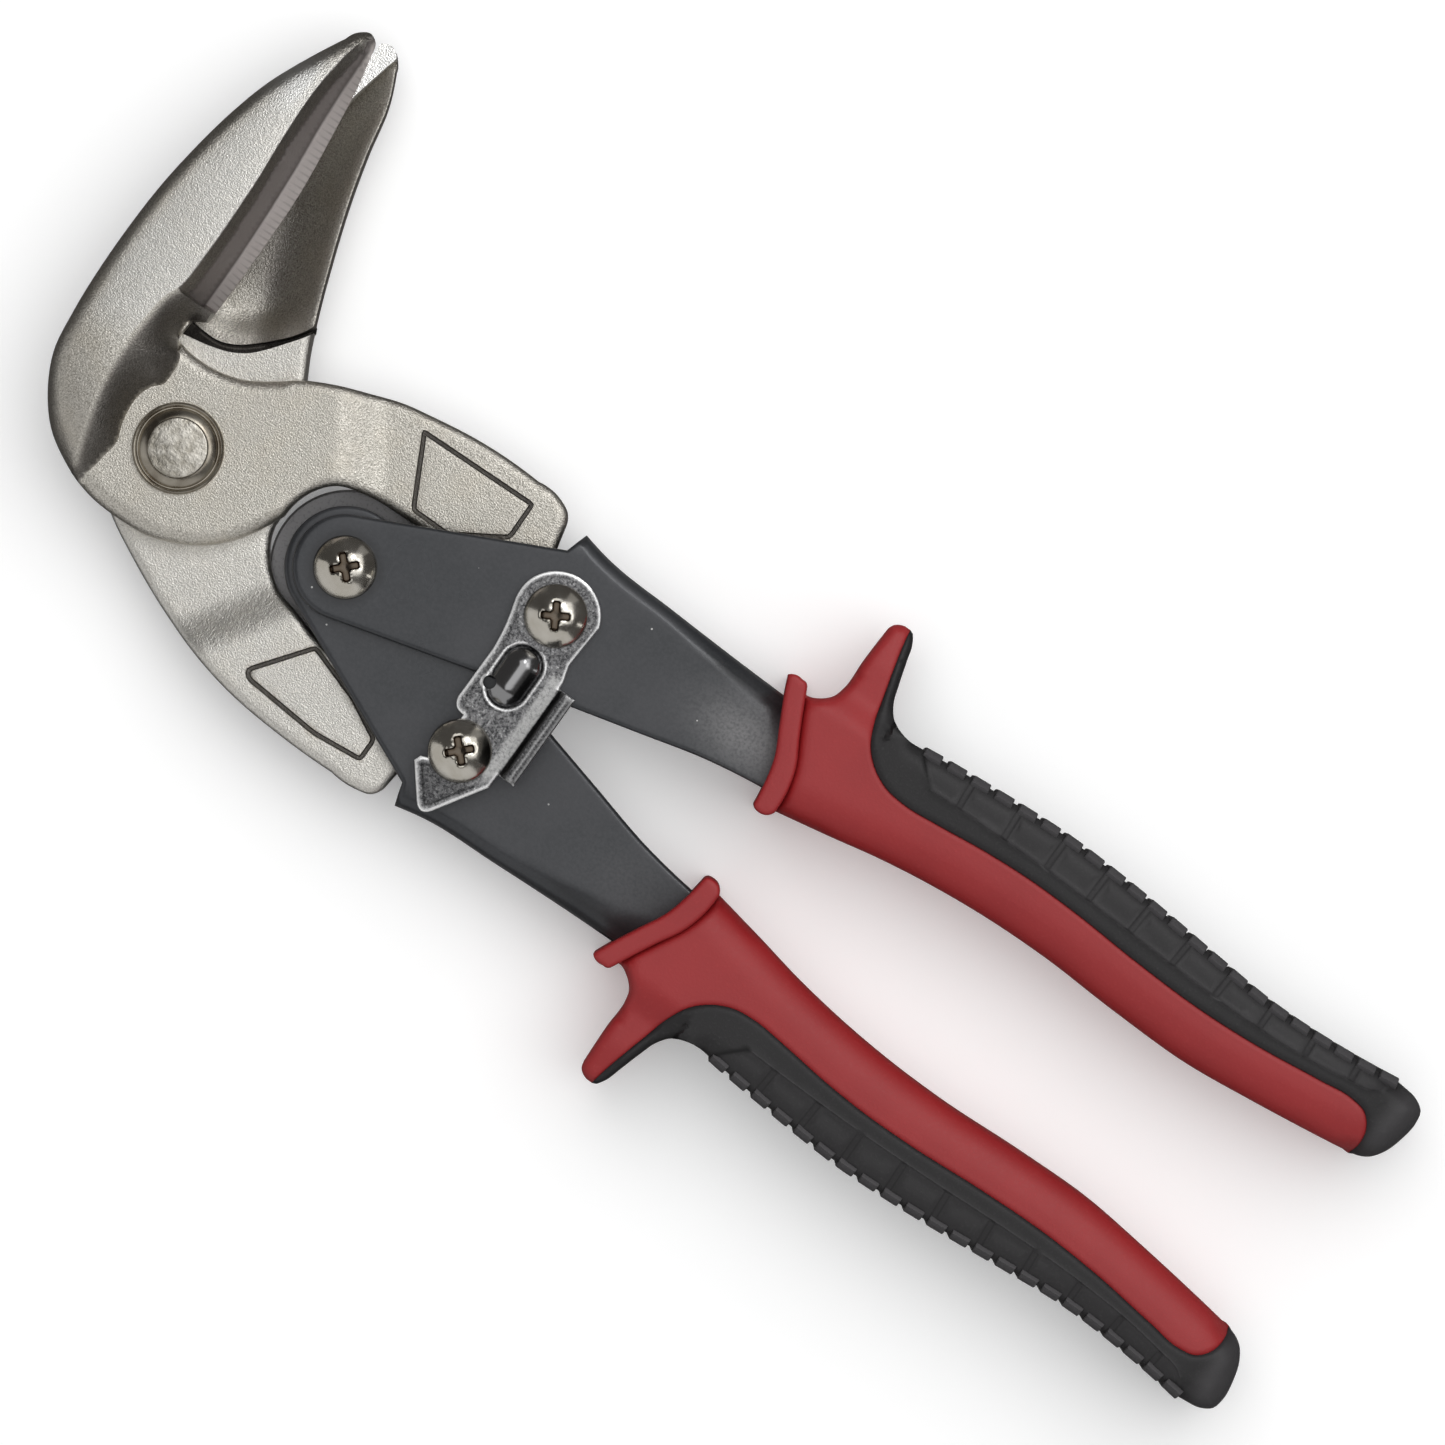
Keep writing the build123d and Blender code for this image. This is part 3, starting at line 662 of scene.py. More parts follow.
def recess(points, panel):
    """Depth of a shallow panel with an engraved line round it."""
    distance = apart(points, panel, True)
    depth = np.interp(distance, [0, *LINE_INSETS, 1.3], [0, 0.8, 0.8, 0.4, 0.35])
    return np.where(inside(points, panel), depth, 0)


def engraved(points, panel):
    """Painted shade along a panel's engraved line."""
    distance = apart(points, panel, True)
    tone = np.interp(distance, [0, *LINE_INSETS], [0, 1.6, 1.6, 0])
    return np.where(inside(points, panel), tone, 0)


def panel_creases(panel):
    """Lines on which a panel's depth and tone change."""
    return [closed(inset(panel, d)) for d in (0, *LINE_INSETS)]


UPPER_BACK = [(19, -1.2), (17, -5), (12, -10.5), (8, -12.8), (4, -14.3), (0, -14.7), (-8, -14.3)]
UPPER_BACK += [(-14, -12.1), (-18.2, -9.5), (-22.3, -4.8), (-25.2, 1), (-26.3, 8), (-26.9, 18)]
UPPER_BACK += [(-26.9, 25), (-26.6, 32), (-25.7, 40), (-24.1, 49), (-22.2, 56), (-20.2, 61)]
UPPER_BACK += [(-18.2, 65.3), (-16.3, 69)]
UPPER_NOSE = [(-15, 71.2), (-13.4, 72), (-12.2, 71.3), (-11.8, 70)]
UPPER_EDGE = [(-10.3, 63), (-9.6, 58), (-9.1, 54), (-8.6, 50), (-8.1, 45), (-7.8, 35), (-8, 19.2)]
RIDGE = [(-13.6, 70.6), (-14.4, 67), (-15, 62), (-15.1, 56), (-14.8, 50), (-14.2, 42), (-14, 36), (-14, 27)]
RIDGE += [(-14.4, 21.5), (-15.6, 18.5), (-16.2, 14), (-16.5, 8), (-16.2, 3), (-15.3, -2)]
RIDGE += [(-14.2, -6), (-12.4, -11.6)]
WALL_FOOT = [(-13, 70.3), (-13.4, 66), (-13.9, 60), (-13.8, 50), (-13.1, 40), (-12.7, 30), (-12.8, 21.5)]
BEVEL = [(-12.2, 70), (-12, 62), (-11.6, 55), (-10.9, 48), (-10.4, 40), (-10, 30), (-10, 20.6)]
VALLEY_FOOT = [(-10.3, 18.3), (-10, 14), (-8.2, 12), (-7.7, 9), (-7.9, 7), (-9.2, 5.5), (-10, 3.4), (-10, 0)]
VALLEY_FOOT += [(-9.4, -2.6), (-8.7, -4.4), (-9, -8), (-9.8, -12.4)]
RIDGE_TOP = [(-14, 4.8), (-11, 6.2), (-6, 8.4), (0, 9.8), (6, 10.6), (12, 10.8), (48, 10.8)]
RIDGE_TOP += [(56, 10.2), (64, 8.6), (72, 6.2)]          # v and height
UPPER_PANEL = polygon((36, 13.4), (43, 13.4), (51.8, 18.9), (51.7, 26), (29.8, 25.4), radius=0.9)

upper_rounded = trace(
    (-10.4, 14.2),
    [(-6, 13.5), (-2, 13.8), (2, 15), (6, 17.5), (10, 20.5), (14, 22.6), (20, 25), (25, 26.75),
     (30, 27.75), (40, 29.1), (50, 29.15)],
    [(55, 28.7), (56.6, 27.8), (57.8, 25.3)],
    [(58.7, 21.6)],
    [polar(UPPER_LINK, TAIL_RADIUS, 122)],
    [polar(UPPER_LINK, TAIL_RADIUS, a) for a in range(100, -111, -30)],
    [(44, 11.8)],
    [(36, 11.9), (28, 11.2), (24, 9.8), (21.5, 7), (20.3, 4), (20, 1)],
    UPPER_BACK,
    UPPER_NOSE,
)
upper_cut = trace(UPPER_NOSE[-1], UPPER_EDGE, [(-10.2, 17.8)], [(-10.4, 14.2)])
upper_rim = np.vstack([upper_rounded[:-1], upper_cut[:-1]])
ridge = smooth_line(RIDGE, 0.5)
wall_foot = smooth_line(WALL_FOOT, 0.5)
bevel = smooth_line(BEVEL, 0.5)
valley_foot = smooth_line(VALLEY_FOOT, 0.4)
ridge_top = smooth_line(RIDGE_TOP, 0.5)
upper_back = smooth_line([(20, 1)] + UPPER_BACK + UPPER_NOSE[:2], 0.5)


def between(points, a, b):
    """0 on line a and 1 on line b, by distance."""
    da, db = apart(points, a), apart(points, b)
    return da / np.maximum(da + db, 1e-6)


def left_of(points, line, by=1e-3):
    """True on the left of a line; points on the line itself are not."""
    distance, side = to_line(points, line)
    return distance * side > by


JAW_ROOT = 20.8        # v where the upper jaw's inner wall starts
WALL_DROP = 2.4        # from the ridge to the foot of the inner wall
WALL_CREASE = 0.19     # width over which the wall's painted shade sets in


def upper_zones(points):
    """Masks of the upper blade's zones: crown, wall, band, edge strip, and valley with its lip.

    The lines run down the jaw, so that the cutting edge is on their left.
    """
    u, v = points[:, 0], points[:, 1]
    past_wall, past_bevel = left_of(points, wall_foot), left_of(points, bevel)
    crown = ~left_of(points, ridge) & (u < -7)
    inner = ~crown & (u < -6)
    jaw = inner & (v > JAW_ROOT)
    root = inner & ~jaw
    valley = root & (~left_of(points, valley_foot, -1e-3) | (v > 17.6))
    return crown, jaw & ~past_wall, jaw & past_wall & ~past_bevel, jaw & past_bevel, valley


def upper_top(points):
    """Crowned jaw with a ground inner side, a valley at its root, the flat and the tail."""
    u, v = points[:, 0], points[:, 1]
    crown, wall, band, strip, valley = upper_zones(points)
    peak = np.interp(v, ridge_top[:, 0], ridge_top[:, 1])
    z = FLAT + (TAIL - FLAT) * jog(points, UPPER_JOG, 1) - recess(points, UPPER_PANEL)
    across = between(points, upper_back, ridge)
    lift = np.clip(peak - FLAT, 0, 1) * 1.05
    z = np.where(crown, peak - lift * (1 - across) ** 2, z)
    z = np.where(wall, peak - WALL_DROP * ease(between(points, ridge, wall_foot)), z)
    t = between(points, wall_foot, bevel)
    foot, low = peak - WALL_DROP, np.minimum(3.6, peak - 2.8)
    z = np.where(band, foot + (low - foot) * (t * 0.9 + 0.1 * ease(t)), z)
    z = np.where(strip, low + (1.1 - low) * between(points, bevel, upper_cut), z)
    fall = 1 - np.cos(between(points, ridge, valley_foot) * math.pi / 2)
    z = np.where(valley, peak + (FLAT - peak) * fall, z)
    distance = apart(points, upper_rounded)
    soft = np.interp(v, [-14, -6, 2, 50, 62, 70], [2.8, 2.8, 2.2, 1.9, 1.9, 1.6])
    soft = np.where(u > 8, 1.5 + 0.9 * ease((4 - v) / 5), soft)
    drop = np.where(u < -9, 3.8, 1.0) * np.clip((peak - 3) / 6, 0.35, 1)
    drop = np.where(u > -9, np.minimum(2.2, 1.2 + 0.8 * (soft - 1.5)), drop)
    return z - round_drop(distance, soft, drop)


HOLLOW_MOUTH = [(-11.8, 22), (-11.4, 40), (-12.6, 54), (-14.2, 64), (-17, 62), (-21.8, 48)]
HOLLOW_MOUTH += [(-23.2, 30), (-21.5, 16), (-16, 17)]
hollow_mouth = smooth_line(HOLLOW_MOUTH + HOLLOW_MOUTH[:1], 0.8)[:-1]


def upper_bottom(points):
    """Shear face, hollowed under the crown."""
    z = SHEAR + (-TAIL - SHEAR) * jog(points, UPPER_JOG, 1)
    distance = apart(points, hollow_mouth, True)
    depth = np.where(inside(points, hollow_mouth), np.minimum(6.3, distance * 2.2), 0)
    return np.maximum(z, np.minimum(z + depth, upper_top(points) - 1.6))


def upper_tones(points, z):
    """Painted shade in the valley, on the wall, over the band and strip and in the panel's line, a ground
    band, a ticked edge strip and a painted highlight on the crown.
    """
    v = points[:, 1]
    crown, wall, band, strip, valley = upper_zones(points)
    from_ridge = apart(points, ridge)
    from_foot = apart(points, wall_foot)
    from_back = apart(points, upper_back)
    crease = apart(points, bevel)
    # Painted shade: the valley darkens away from the ridge, and the wall and the top of the band are painted
    # darker.
    shade = np.where(valley, 1.34 * ease(from_ridge / 1.6), 0)
    shade += np.where(wall, 0.74 * ease(from_ridge / WALL_CREASE), 0)
    shade += np.where(band, 0.9 * (1 - ease(from_foot / 0.5)), 0)
    # Painted shade over the band and strip, darker by the bevel's crease and towards the jaw's root.
    painted_band_shade = 0.6 * (1 - ease(crease / 0.4)) + 0.55 * ease((32 - v) / 12)
    shade += np.where(band | strip, painted_band_shade, 0) + engraved(points, UPPER_PANEL)
    # The teeth are not modelled: the shaded side of each one is painted as a darker stripe.
    tick = (np.sin(v * TICK_RATE) > 0.35) * ease((crease - 0.3) / 0.5)
    # Painted shade on the crown, darker low down and towards its back rim.
    low = ease((7 - v) / 12) + 1 - ease(from_back / 2.2)
    # Painted highlight on the crown, stronger higher up and near the tip.
    painted_crown_highlight = 0.42 * ease((v - 6) / 9) * ease((from_back - 1.5) / 2.5)
    painted_crown_highlight += 0.75 * np.exp(-(((v - 60) / 5) ** 2)) * ease((from_ridge - 0.6) / 1.5)
    return {
        "ground": np.where(band, 1.4, 0) + np.where(strip, 2.0, 0) + np.where(wall, 0.2, 0),
        "shade": shade + np.where(strip, 0.5 * tick, 0) + np.where(crown, 0.3 * low, 0),
        "edge": np.where(strip, 1.0, 0),
        "polish_and_highlight": np.where(crown, np.minimum(painted_crown_highlight, 0.9), 0),
    }


def tick_creases():
    """Short lines across the edge strip, one on each side of every tick."""
    lines = []
    bevel_v, bevel_u = np.array(sorted((v, u) for u, v in BEVEL)).T
    for v in np.arange(21.4, 66, TICK_WIDTH):
        left = np.interp(v, bevel_v, bevel_u) + 0.35
        right = np.interp(v, upper_cut[::-1, 1], upper_cut[::-1, 0]) - 0.12
        if right - left > 0.4:
            lines.append(np.array([(left, v), (right, v)]))
    return lines


def build_upper_blade():
    creases = [ridge[1:-1], wall_foot[1:-1], bevel[1:-1], valley_foot[2:-1]]
    creases += panel_creases(UPPER_PANEL) + [inset_open(ridge, 0.2)[3:-3]] + tick_creases()
    piece = relief(
        "upper_blade_forging", upper_rim, creases, upper_top, upper_bottom, FINISH["steel"],
        step=0.6, rings=RINGS, sharp=28, tones=upper_tones,
        holes=[circle((0, 0), PIN_HOLE), circle(UPPER_LINK, BUSH_HOLE)],
    )
    belongs(piece, "upper_blade", "blade_steel", "upper_blade")


LOWER_EDGE_RIGHT = [(18.6, 5), (14, 13.5), (10, 20.8), (8, 24.5), (6, 29), (2, 39.5)]
LOWER_EDGE_RIGHT += [(-1, 48.5), (-3, 56), (-5, 65), (-7, 69.5)]
LAND_LINE = [(-8, 71.4), (-8.3, 70.2), (-9.3, 66), (-10.1, 62.2), (-10.4, 50), (-10.2, 36)]
LAND_LINE += [(-9.9, 24), (-10, 20)]
LIP = [(-12, 18.3), (-10, 17.9), (-8, 17.7), (-5, 17.9), (-3.5, 18.5), (-2, 19.4), (0, 21.1)]
LIP += [(2, 23), (4, 25.2), (5.6, 27.6), (6.6, 30)]
GROOVE_WALL = 0.14
GROOVE_LOW = [(-12, 15), (-10, 15.4), (-6, 16.2), (-2, 17.6), (0, 18.9), (2, 21), (4, 23.6)]
GROOVE_LOW += [(6, 26.4), (7.4, 29)]
GROOVE_DEPTH = 7.6
LOWER_PANEL = polygon(
    (30, -23.9), (44, -25), (52.9, -24.1), (52.9, -19.6), (46, -16), (36.2, -12.8), (29, -22.4),
    radius=0.9,
)

lower_rounded = trace(
    (-12.5, -6),
    [(-9, -10.4), (-2.6, -15.2), (4, -18.7), (12, -22.3), (20, -25.1), (28, -27), (40, -28.1), (50, -28.1)],
    [(55, -28), (57, -27.4), (58.3, -25.3)],
    [(58.7, -21.6)],
    [polar(LOWER_LINK, TAIL_RADIUS, -122)],
    [polar(LOWER_LINK, TAIL_RADIUS, a) for a in range(-100, 111, 30)],
    [(44, -11.8)],
    [(36, -12), (30, -10.4), (26, -9.3), (24, -8), (22, -6), (20.3, -3.5), (19.5, -1)],
    LOWER_EDGE_RIGHT,
)
lower_cut = trace(
    (-7, 69.5),
    [(-8, 71.2), (-9.3, 72.3), (-10.6, 72.35), (-11.5, 71.8)],
    [(-11.8, 56), (-11.4, 38), (-11.2, 17)],
    [(-14, 6), (-12.5, -6)],
)
lower_rim = np.vstack([lower_rounded[:-1], lower_cut[:-1]])
land_line = smooth_line(LAND_LINE, 0.5)
lip = smooth_line(LIP, 0.4)
groove_low = smooth_line(GROOVE_LOW, 0.4)
right_edge = smooth_line(LOWER_EDGE_RIGHT, 0.5)
JAW_LIMIT = [(-13, 74), (-13.5, 66), (-13.5, 60), (-12.4, 40), (-11.6, 24), (-9.8, 19.5)]
JAW_LIMIT += [(2, 15.4), (10, 10.5), (15, 5), (18.8, 0)]
jaw_limit = smooth_line(JAW_LIMIT, 0.6)


def lower_zones(points):
    """Masks of the lower blade's hollow, of the groove at its root and of the polished land."""
    above_groove = left_of(points, groove_low, GROOVE_WALL * 0.9)
    right_of_land = left_of(points, land_line, GROOVE_WALL * 0.9)
    past_lip = left_of(points, lip, -GROOVE_WALL * 0.9)
    jaw = (points[:, 1] > 15) & (points[:, 0] < 8)
    hollow = jaw & past_lip & right_of_land
    groove = jaw & above_groove & ~past_lip
    polished = ~right_of_land & (points[:, 1] > 21)
    return hollow, groove, polished


def lower_top(points):
    """Shear face with a hollow in the jaw, and the tail's offset."""
    hollow, groove, _ = lower_zones(points)
    z = -SHEAR + (TAIL + SHEAR) * jog(points, LOWER_JOG, -1) - recess(points, LOWER_PANEL)
    to_edge = apart(points, right_edge)
    to_lip = apart(points, lip)
    bowl = 0.4 + 6.2 * np.sin(np.clip(to_edge / 10, 0, 1) * math.pi / 2)
    bowl -= 2.2 * ease(1 - to_lip / 6) * ease(to_edge / 6)
    z = np.where(hollow, -SHEAR - bowl, z)
    z = np.where(groove, -SHEAR - GROOVE_DEPTH, z)
    distance = apart(points, lower_rounded)
    return z - round_drop(distance, 1.4, 1.1)


def lower_bottom(points):
    """The back, which swells out under the jaw."""
    z = -FLAT + (FLAT - TAIL) * jog(points, LOWER_JOG, -1)
    distance, side = to_line(points, jaw_limit)
    jaw = (side > 0) & (points[:, 1] > -2)
    peak = np.interp(points[:, 1], [0, 8, 48, 56, 64, 72.4], [5, 10, 11.6, 11, 9.4, 7])
    z = np.where(jaw, z + (-peak - z) * ease(distance / 4.4), z)
    outer = apart(points, lower_rounded)
    lift = np.where(jaw, 3.6 * ease((peak - 5) / 5), 0.7)
    z = z + round_drop(outer, np.where(jaw, 1.6, 1.0), lift)
    return np.minimum(z, lower_top(points) - 1.5)


def lower_tones(points, z):
    """Painted shade in the hollow, lighter in a painted pool of light low down and on the lip, darker along
    the crest; painted shade in the groove and the panel's line; the polished land and the flats painted
    brighter.
    """
    hollow, groove, polished = lower_zones(points)
    to_lip = apart(points, lip)
    to_edge = apart(points, right_edge)
    u, v = points[:, 0], points[:, 1]
    rolled = 1 - ease((to_lip - 0.9) / 0.5)
    # Painted pool of light low in the hollow; painted shade along the crest where the bowl levels out.
    painted_light_pool = np.exp(-(((u + 7) / 5) ** 2) - ((v - 20.5) / 6.5) ** 2)
    crest = 0.5 * ease((v - 24) / 7) * np.exp(-(((to_edge - 9) / 3.5) ** 2))
    # Painted shade in the hollow, lighter on the rolled lip and higher up.
    dark = (0.54 + crest - 0.12 * ease((v - 30) / 12) - 0.75 * painted_light_pool) * (1 - rolled) + 0.45 * rolled
    # Painted shade in the groove, nearly black, with a lighter line along it below the lip.
    cut = 1.8 - 0.5 * (1 - ease(np.abs(to_lip - 0.55) / 0.2)) * (u < 1)
    line = engraved(points, LOWER_PANEL)
    # Painted light: the lower blade's flats are painted brighter away from the hollow, the groove and the
    # panel's line.
    flat = np.where(hollow | groove, 0, 0.3) * (line == 0)
    return {
        "shade": np.where(hollow, np.clip(dark, 0, 1), 0) + np.where(groove, cut, 0) + line,
        "polish_and_highlight": np.where(polished, 1.0, flat),
    }


def build_lower_blade():
    creases = [land_line[1:-1], inset_open(land_line, GROOVE_WALL)[2:-2]]
    creases += [lip[1:-1], inset_open(lip, -GROOVE_WALL)[1:-1]]
    creases += [inset_open(lip, -d)[9:-12] for d in (0.35, 0.55, 0.75)]
    creases += [groove_low[1:-1], inset_open(groove_low, GROOVE_WALL)[1:-1]]
    piece = relief(
        "lower_blade_forging", lower_rim, creases + panel_creases(LOWER_PANEL), lower_top,
        lower_bottom, FINISH["steel"], step=0.6, rings=RINGS, sharp=28, tones=lower_tones,
        holes=[circle((0, 0), PIN_HOLE + 0.05), circle(LOWER_LINK, BUSH_HOLE)],
    )
    belongs(piece, "lower_blade", "blade_steel", "lower_blade")


# ---------------- grips

GRIP_TOP = 10.9
COVER_PROUD = 0.45
COLLAR_TOP = 11.6
LOWER_GRIP_SHIFT = 0.5
HORN_END = 119
TREADS = 22
TREAD_START = 126.9
TREAD_PITCH = (4.42, 4.06)      # at the first tread and at the last
TREAD_LIFT = 0.62
TREAD_LENGTH = 3.2
TREAD_REACH, TREAD_FALL = 3.2, 2.6
ZONE_DEPTH = 0.4
BEAD = 0.22
BEAD_INSET = 0.2
GROOVE_PART = 0.35     # depth of a cross groove, as a part of the zone's depth
# How much lighter the tread blocks are: wear and painted sheen.
TREAD_WEAR_AND_SHEEN = 0.8
TREAD_SKIN = 1.2       # thickness of a tread block

INNER_EDGE = [(111.5, 8.1), (120, 9.7), (130, 11.7), (140, 13.1), (150, 13.9)]
INNER_EDGE += [(160, 14.1), (175, 13.5), (188, 13.4), (200, 14.6), (211, 16), (218, 17)]
CAP = [(218, 17), (221, 18.3), (222.5, 20.4), (223.5, 23.5)]
CAP += [(223.9, 27), (223.4, 29), (222.2, 29.9), (220, 30.5)]
TREAD_EDGE = [(123.6, 29.7), (129, 30.3), (135, 30.8), (143, 31.4), (152, 31.8)]
TREAD_EDGE += [(162, 31.5), (172, 30.8), (183, 29.8), (194, 29), (206, 29.4), (217.8, 30.7)]
HORN_BACK = [(123.6, 29.7), (121, 29.9), (118.6, 31), (117, 33)]
HORN_BACK += [(115.9, 36), (114.7, 40), (113.9, 42.6), (113, 44)]
HORN_TIP = [(113, 44), (112.1, 44.35), (110.8, 44.15), (109.6, 43.3), (109.3, 42)]
HORN_FRONT = [(109.3, 42), (109.1, 36), (109.1, 30.6), (108.6, 28.8), (107, 27.1), (105.2, 26.2)]
HORN_FRONT += [(104.2, 26.2)]
SEAM = [(112.3, 44.3), (112.9, 41), (113.8, 37.4), (115, 33), (116.2, 28.8), (118, 25.2)]
SEAM += [(120.5, 22.9), (124, 21.3), (127.5, 20.9)]
SEAM += [(134, 21.4), (142, 22.3), (150, 22.8), (160, 22.7), (172, 22), (185, 21.7)]
SEAM += [(196, 22.3), (207, 23.6), (213, 24.2), (215.8, 23.6), (217.6, 21.6), (218.2, 19), (218, 16.8)]
BORDER = [(129.5, 25.2), (140, 25.5), (152, 25.6), (165, 25.3)]
BORDER += [(180, 24.7), (195, 24.7), (205, 25.4), (211, 26.3), (214.5, 27), (216.8, 29)]

inner_edge = smooth_line(INNER_EDGE, 0.9)
cap_line = smooth_line(CAP, 0.6)
tread_line = smooth_line(TREAD_EDGE, 0.7)
horn_back = smooth_line(HORN_BACK, 0.5)
horn_tip = smooth_line(HORN_TIP, 0.4)
horn_front = smooth_line(HORN_FRONT, 0.5)
seam = smooth_line(SEAM, 0.6)
border = smooth_line(BORDER, 0.8)
grip_mouth = smooth_line([HORN_FRONT[-1], (107.6, 20), (110.3, 14.5), INNER_EDGE[0]], 0.8)[1:-1]
grip_rim = np.vstack([
    inner_edge[:-1], cap_line, tread_line[::-1], horn_back[1:-1], horn_tip[:-1],
    horn_front[:-1], HORN_FRONT[-1:],
    grip_mouth,
])
COLLAR = trace(
    (100.5, 27.2),
    [(102, 23.8), (104, 19.8), (106.4, 15), (107.5, 10.5), (107.9, 7.6)],
    [(108.1, 6.9), (108.9, 6.5)],
    [(110.9, 7), (111.5, 7.9)],
    [(111.3, 11.5), (110.2, 15.6), (107.8, 20), (104.3, 26.9)],
    [(103.7, 27.7), (102.8, 27.8)],
    [(101.3, 27.75), (100.5, 27.2)],
)


def grip_surface(points):
    """Height of the grip's moulded body at rest on its middle plane."""
    u, v = points[:, 0], points[:, 1]
    rim = apart(points, grip_rim, True)
    inner = apart(points, inner_edge)
    outer = apart(points, np.vstack([cap_line, tread_line[::-1]]))
    horn = ease((v - 25.5) / 6) * (u < HORN_END)
    left = (5.3 * (v - 21) - 10.5 * (u - 105.3)) / 11.76
    web = ease(left / 3) * (v < 34)
    top = GRIP_TOP - 2.2 * horn - 1.6 * ease((v - 36) / 9) * (u < HORN_END)
    top -= 1.5 * web * (1 - 0.6 * horn) + 1.2 * ease((u - 214) / 10)
    z = top - round_drop(inner, 6.5, 4.6) * (1 - horn)
    z -= round_drop(outer, TREAD_REACH, TREAD_FALL) * (1 - horn) * ease((u - 116) / 4)
    soft = 1.6 + 1.6 * ease((u - 214) / 4)
    ends = 1 - ease((u - 118) / 4) * ease((217 - u) / 4)
    return z - round_drop(rim, soft, 2.0) * ends * ease((u - 103.6) / 1.5)


def collar_top(points):
    distance = apart(points, COLLAR, True)
    return COLLAR_TOP - round_drop(distance, 0.8, 0.7)


def core_top(points):
    """The grip's surface, let in a little along the seam."""
    distance = apart(points, seam)
    return grip_surface(points) - 0.25 * (1 - ease(distance / 0.5))


def cover_top(points):
    """The cover's surface: proud of the core, sunk in the treads' zone, with a bead round it."""
    distance = apart(points, seam)
    z = grip_surface(points) + COVER_PROUD * np.sqrt(ease(distance / 0.8))
    deep = np.where(inside(points, zone), ease(apart(points, zone_edge) / 0.3), 0)
    for line in grooves:
        cut = 1 - ease((apart(points, line) - 0.3) / 0.3)
        deep = deep + GROOVE_PART * np.where(inside(points, zone), cut, 0)
    bead = BEAD * (1 - ease(apart(points, inset_open(border, BEAD_INSET)) / 0.35))
    return z - ZONE_DEPTH * deep + bead


zone_edge = np.vstack([[(125.2, 29.5)], border])
zone = np.vstack([zone_edge, [(217, 33), (125, 33)]])


def cover_tones(points, z):
    """Painted shade in the cut lines round the treads' zone, a painted highlight on the bead, and painted
    sheen over the zone and the cap.
    """
    # Painted shade along the zone's front cut and beside each cross groove.
    line = 1 - ease(apart(points, np.array([(125.2, 29.6), (129.5, 25.2)])) / 0.3)
    for groove in grooves:
        side = np.abs(apart(points, groove) - 0.5)
        line = np.maximum(line, 0.36 * (1 - ease(side / 0.22)))
    # Painted highlight along the bead, and painted sheen over the zone and the cap.
    bead = 1 - ease(apart(points, inset_open(border, BEAD_INSET)) / 0.4)
    wear_and_sheen = np.where(inside(points, zone), 0.12, 0) * (1 - line)
    wear_and_sheen += 0.22 * bead * (points[:, 0] > BORDER[0][0]) + 0.5 * ease((points[:, 0] - 217) / 3)
    return {"shade": line, "wear_and_sheen": wear_and_sheen}


def tread_places():
    """Centre, direction and outward normal of each tread along the grip's back."""
    u = TREAD_START
    for number in range(TREADS):
        k = int(np.abs(tread_line[:, 0] - u).argmin())
        along = tread_line[min(k + 1, len(tread_line) - 1)] - tread_line[k - 1]
        along /= np.linalg.norm(along)
        y = np.interp(u, tread_line[:, 0], tread_line[:, 1])
        yield np.array([u, y]), along, np.array([-along[1], along[0]])
        u += TREAD_PITCH[0] + (TREAD_PITCH[1] - TREAD_PITCH[0]) * number / (TREADS - 2)


def groove_lines():
    """Shallow cross grooves behind every second tread."""
    lines = []
    for number, (centre, along, out) in enumerate(tread_places()):
        if number % 2 == 0 and number:
            start = centre - along * 1.2 - out * 1.2
            reach = start[1] - np.interp(start[0], border[:, 0], border[:, 1]) - 0.4
            lines.append(np.array([start, start - out * reach]))
    return lines


grooves = groove_lines()


def closed_between(*lines):
    """One outline from lines laid end to end."""
    out = [np.array(lines[0])]
    for line in lines[1:]:
        line = np.array(line)
        skip = 1 if np.linalg.norm(out[-1][-1] - line[0]) < 0.3 else 0
        out.append(line[skip:])
    loop = np.vstack(out)
    return loop[:-1] if np.linalg.norm(loop[0] - loop[-1]) < 0.3 else loop


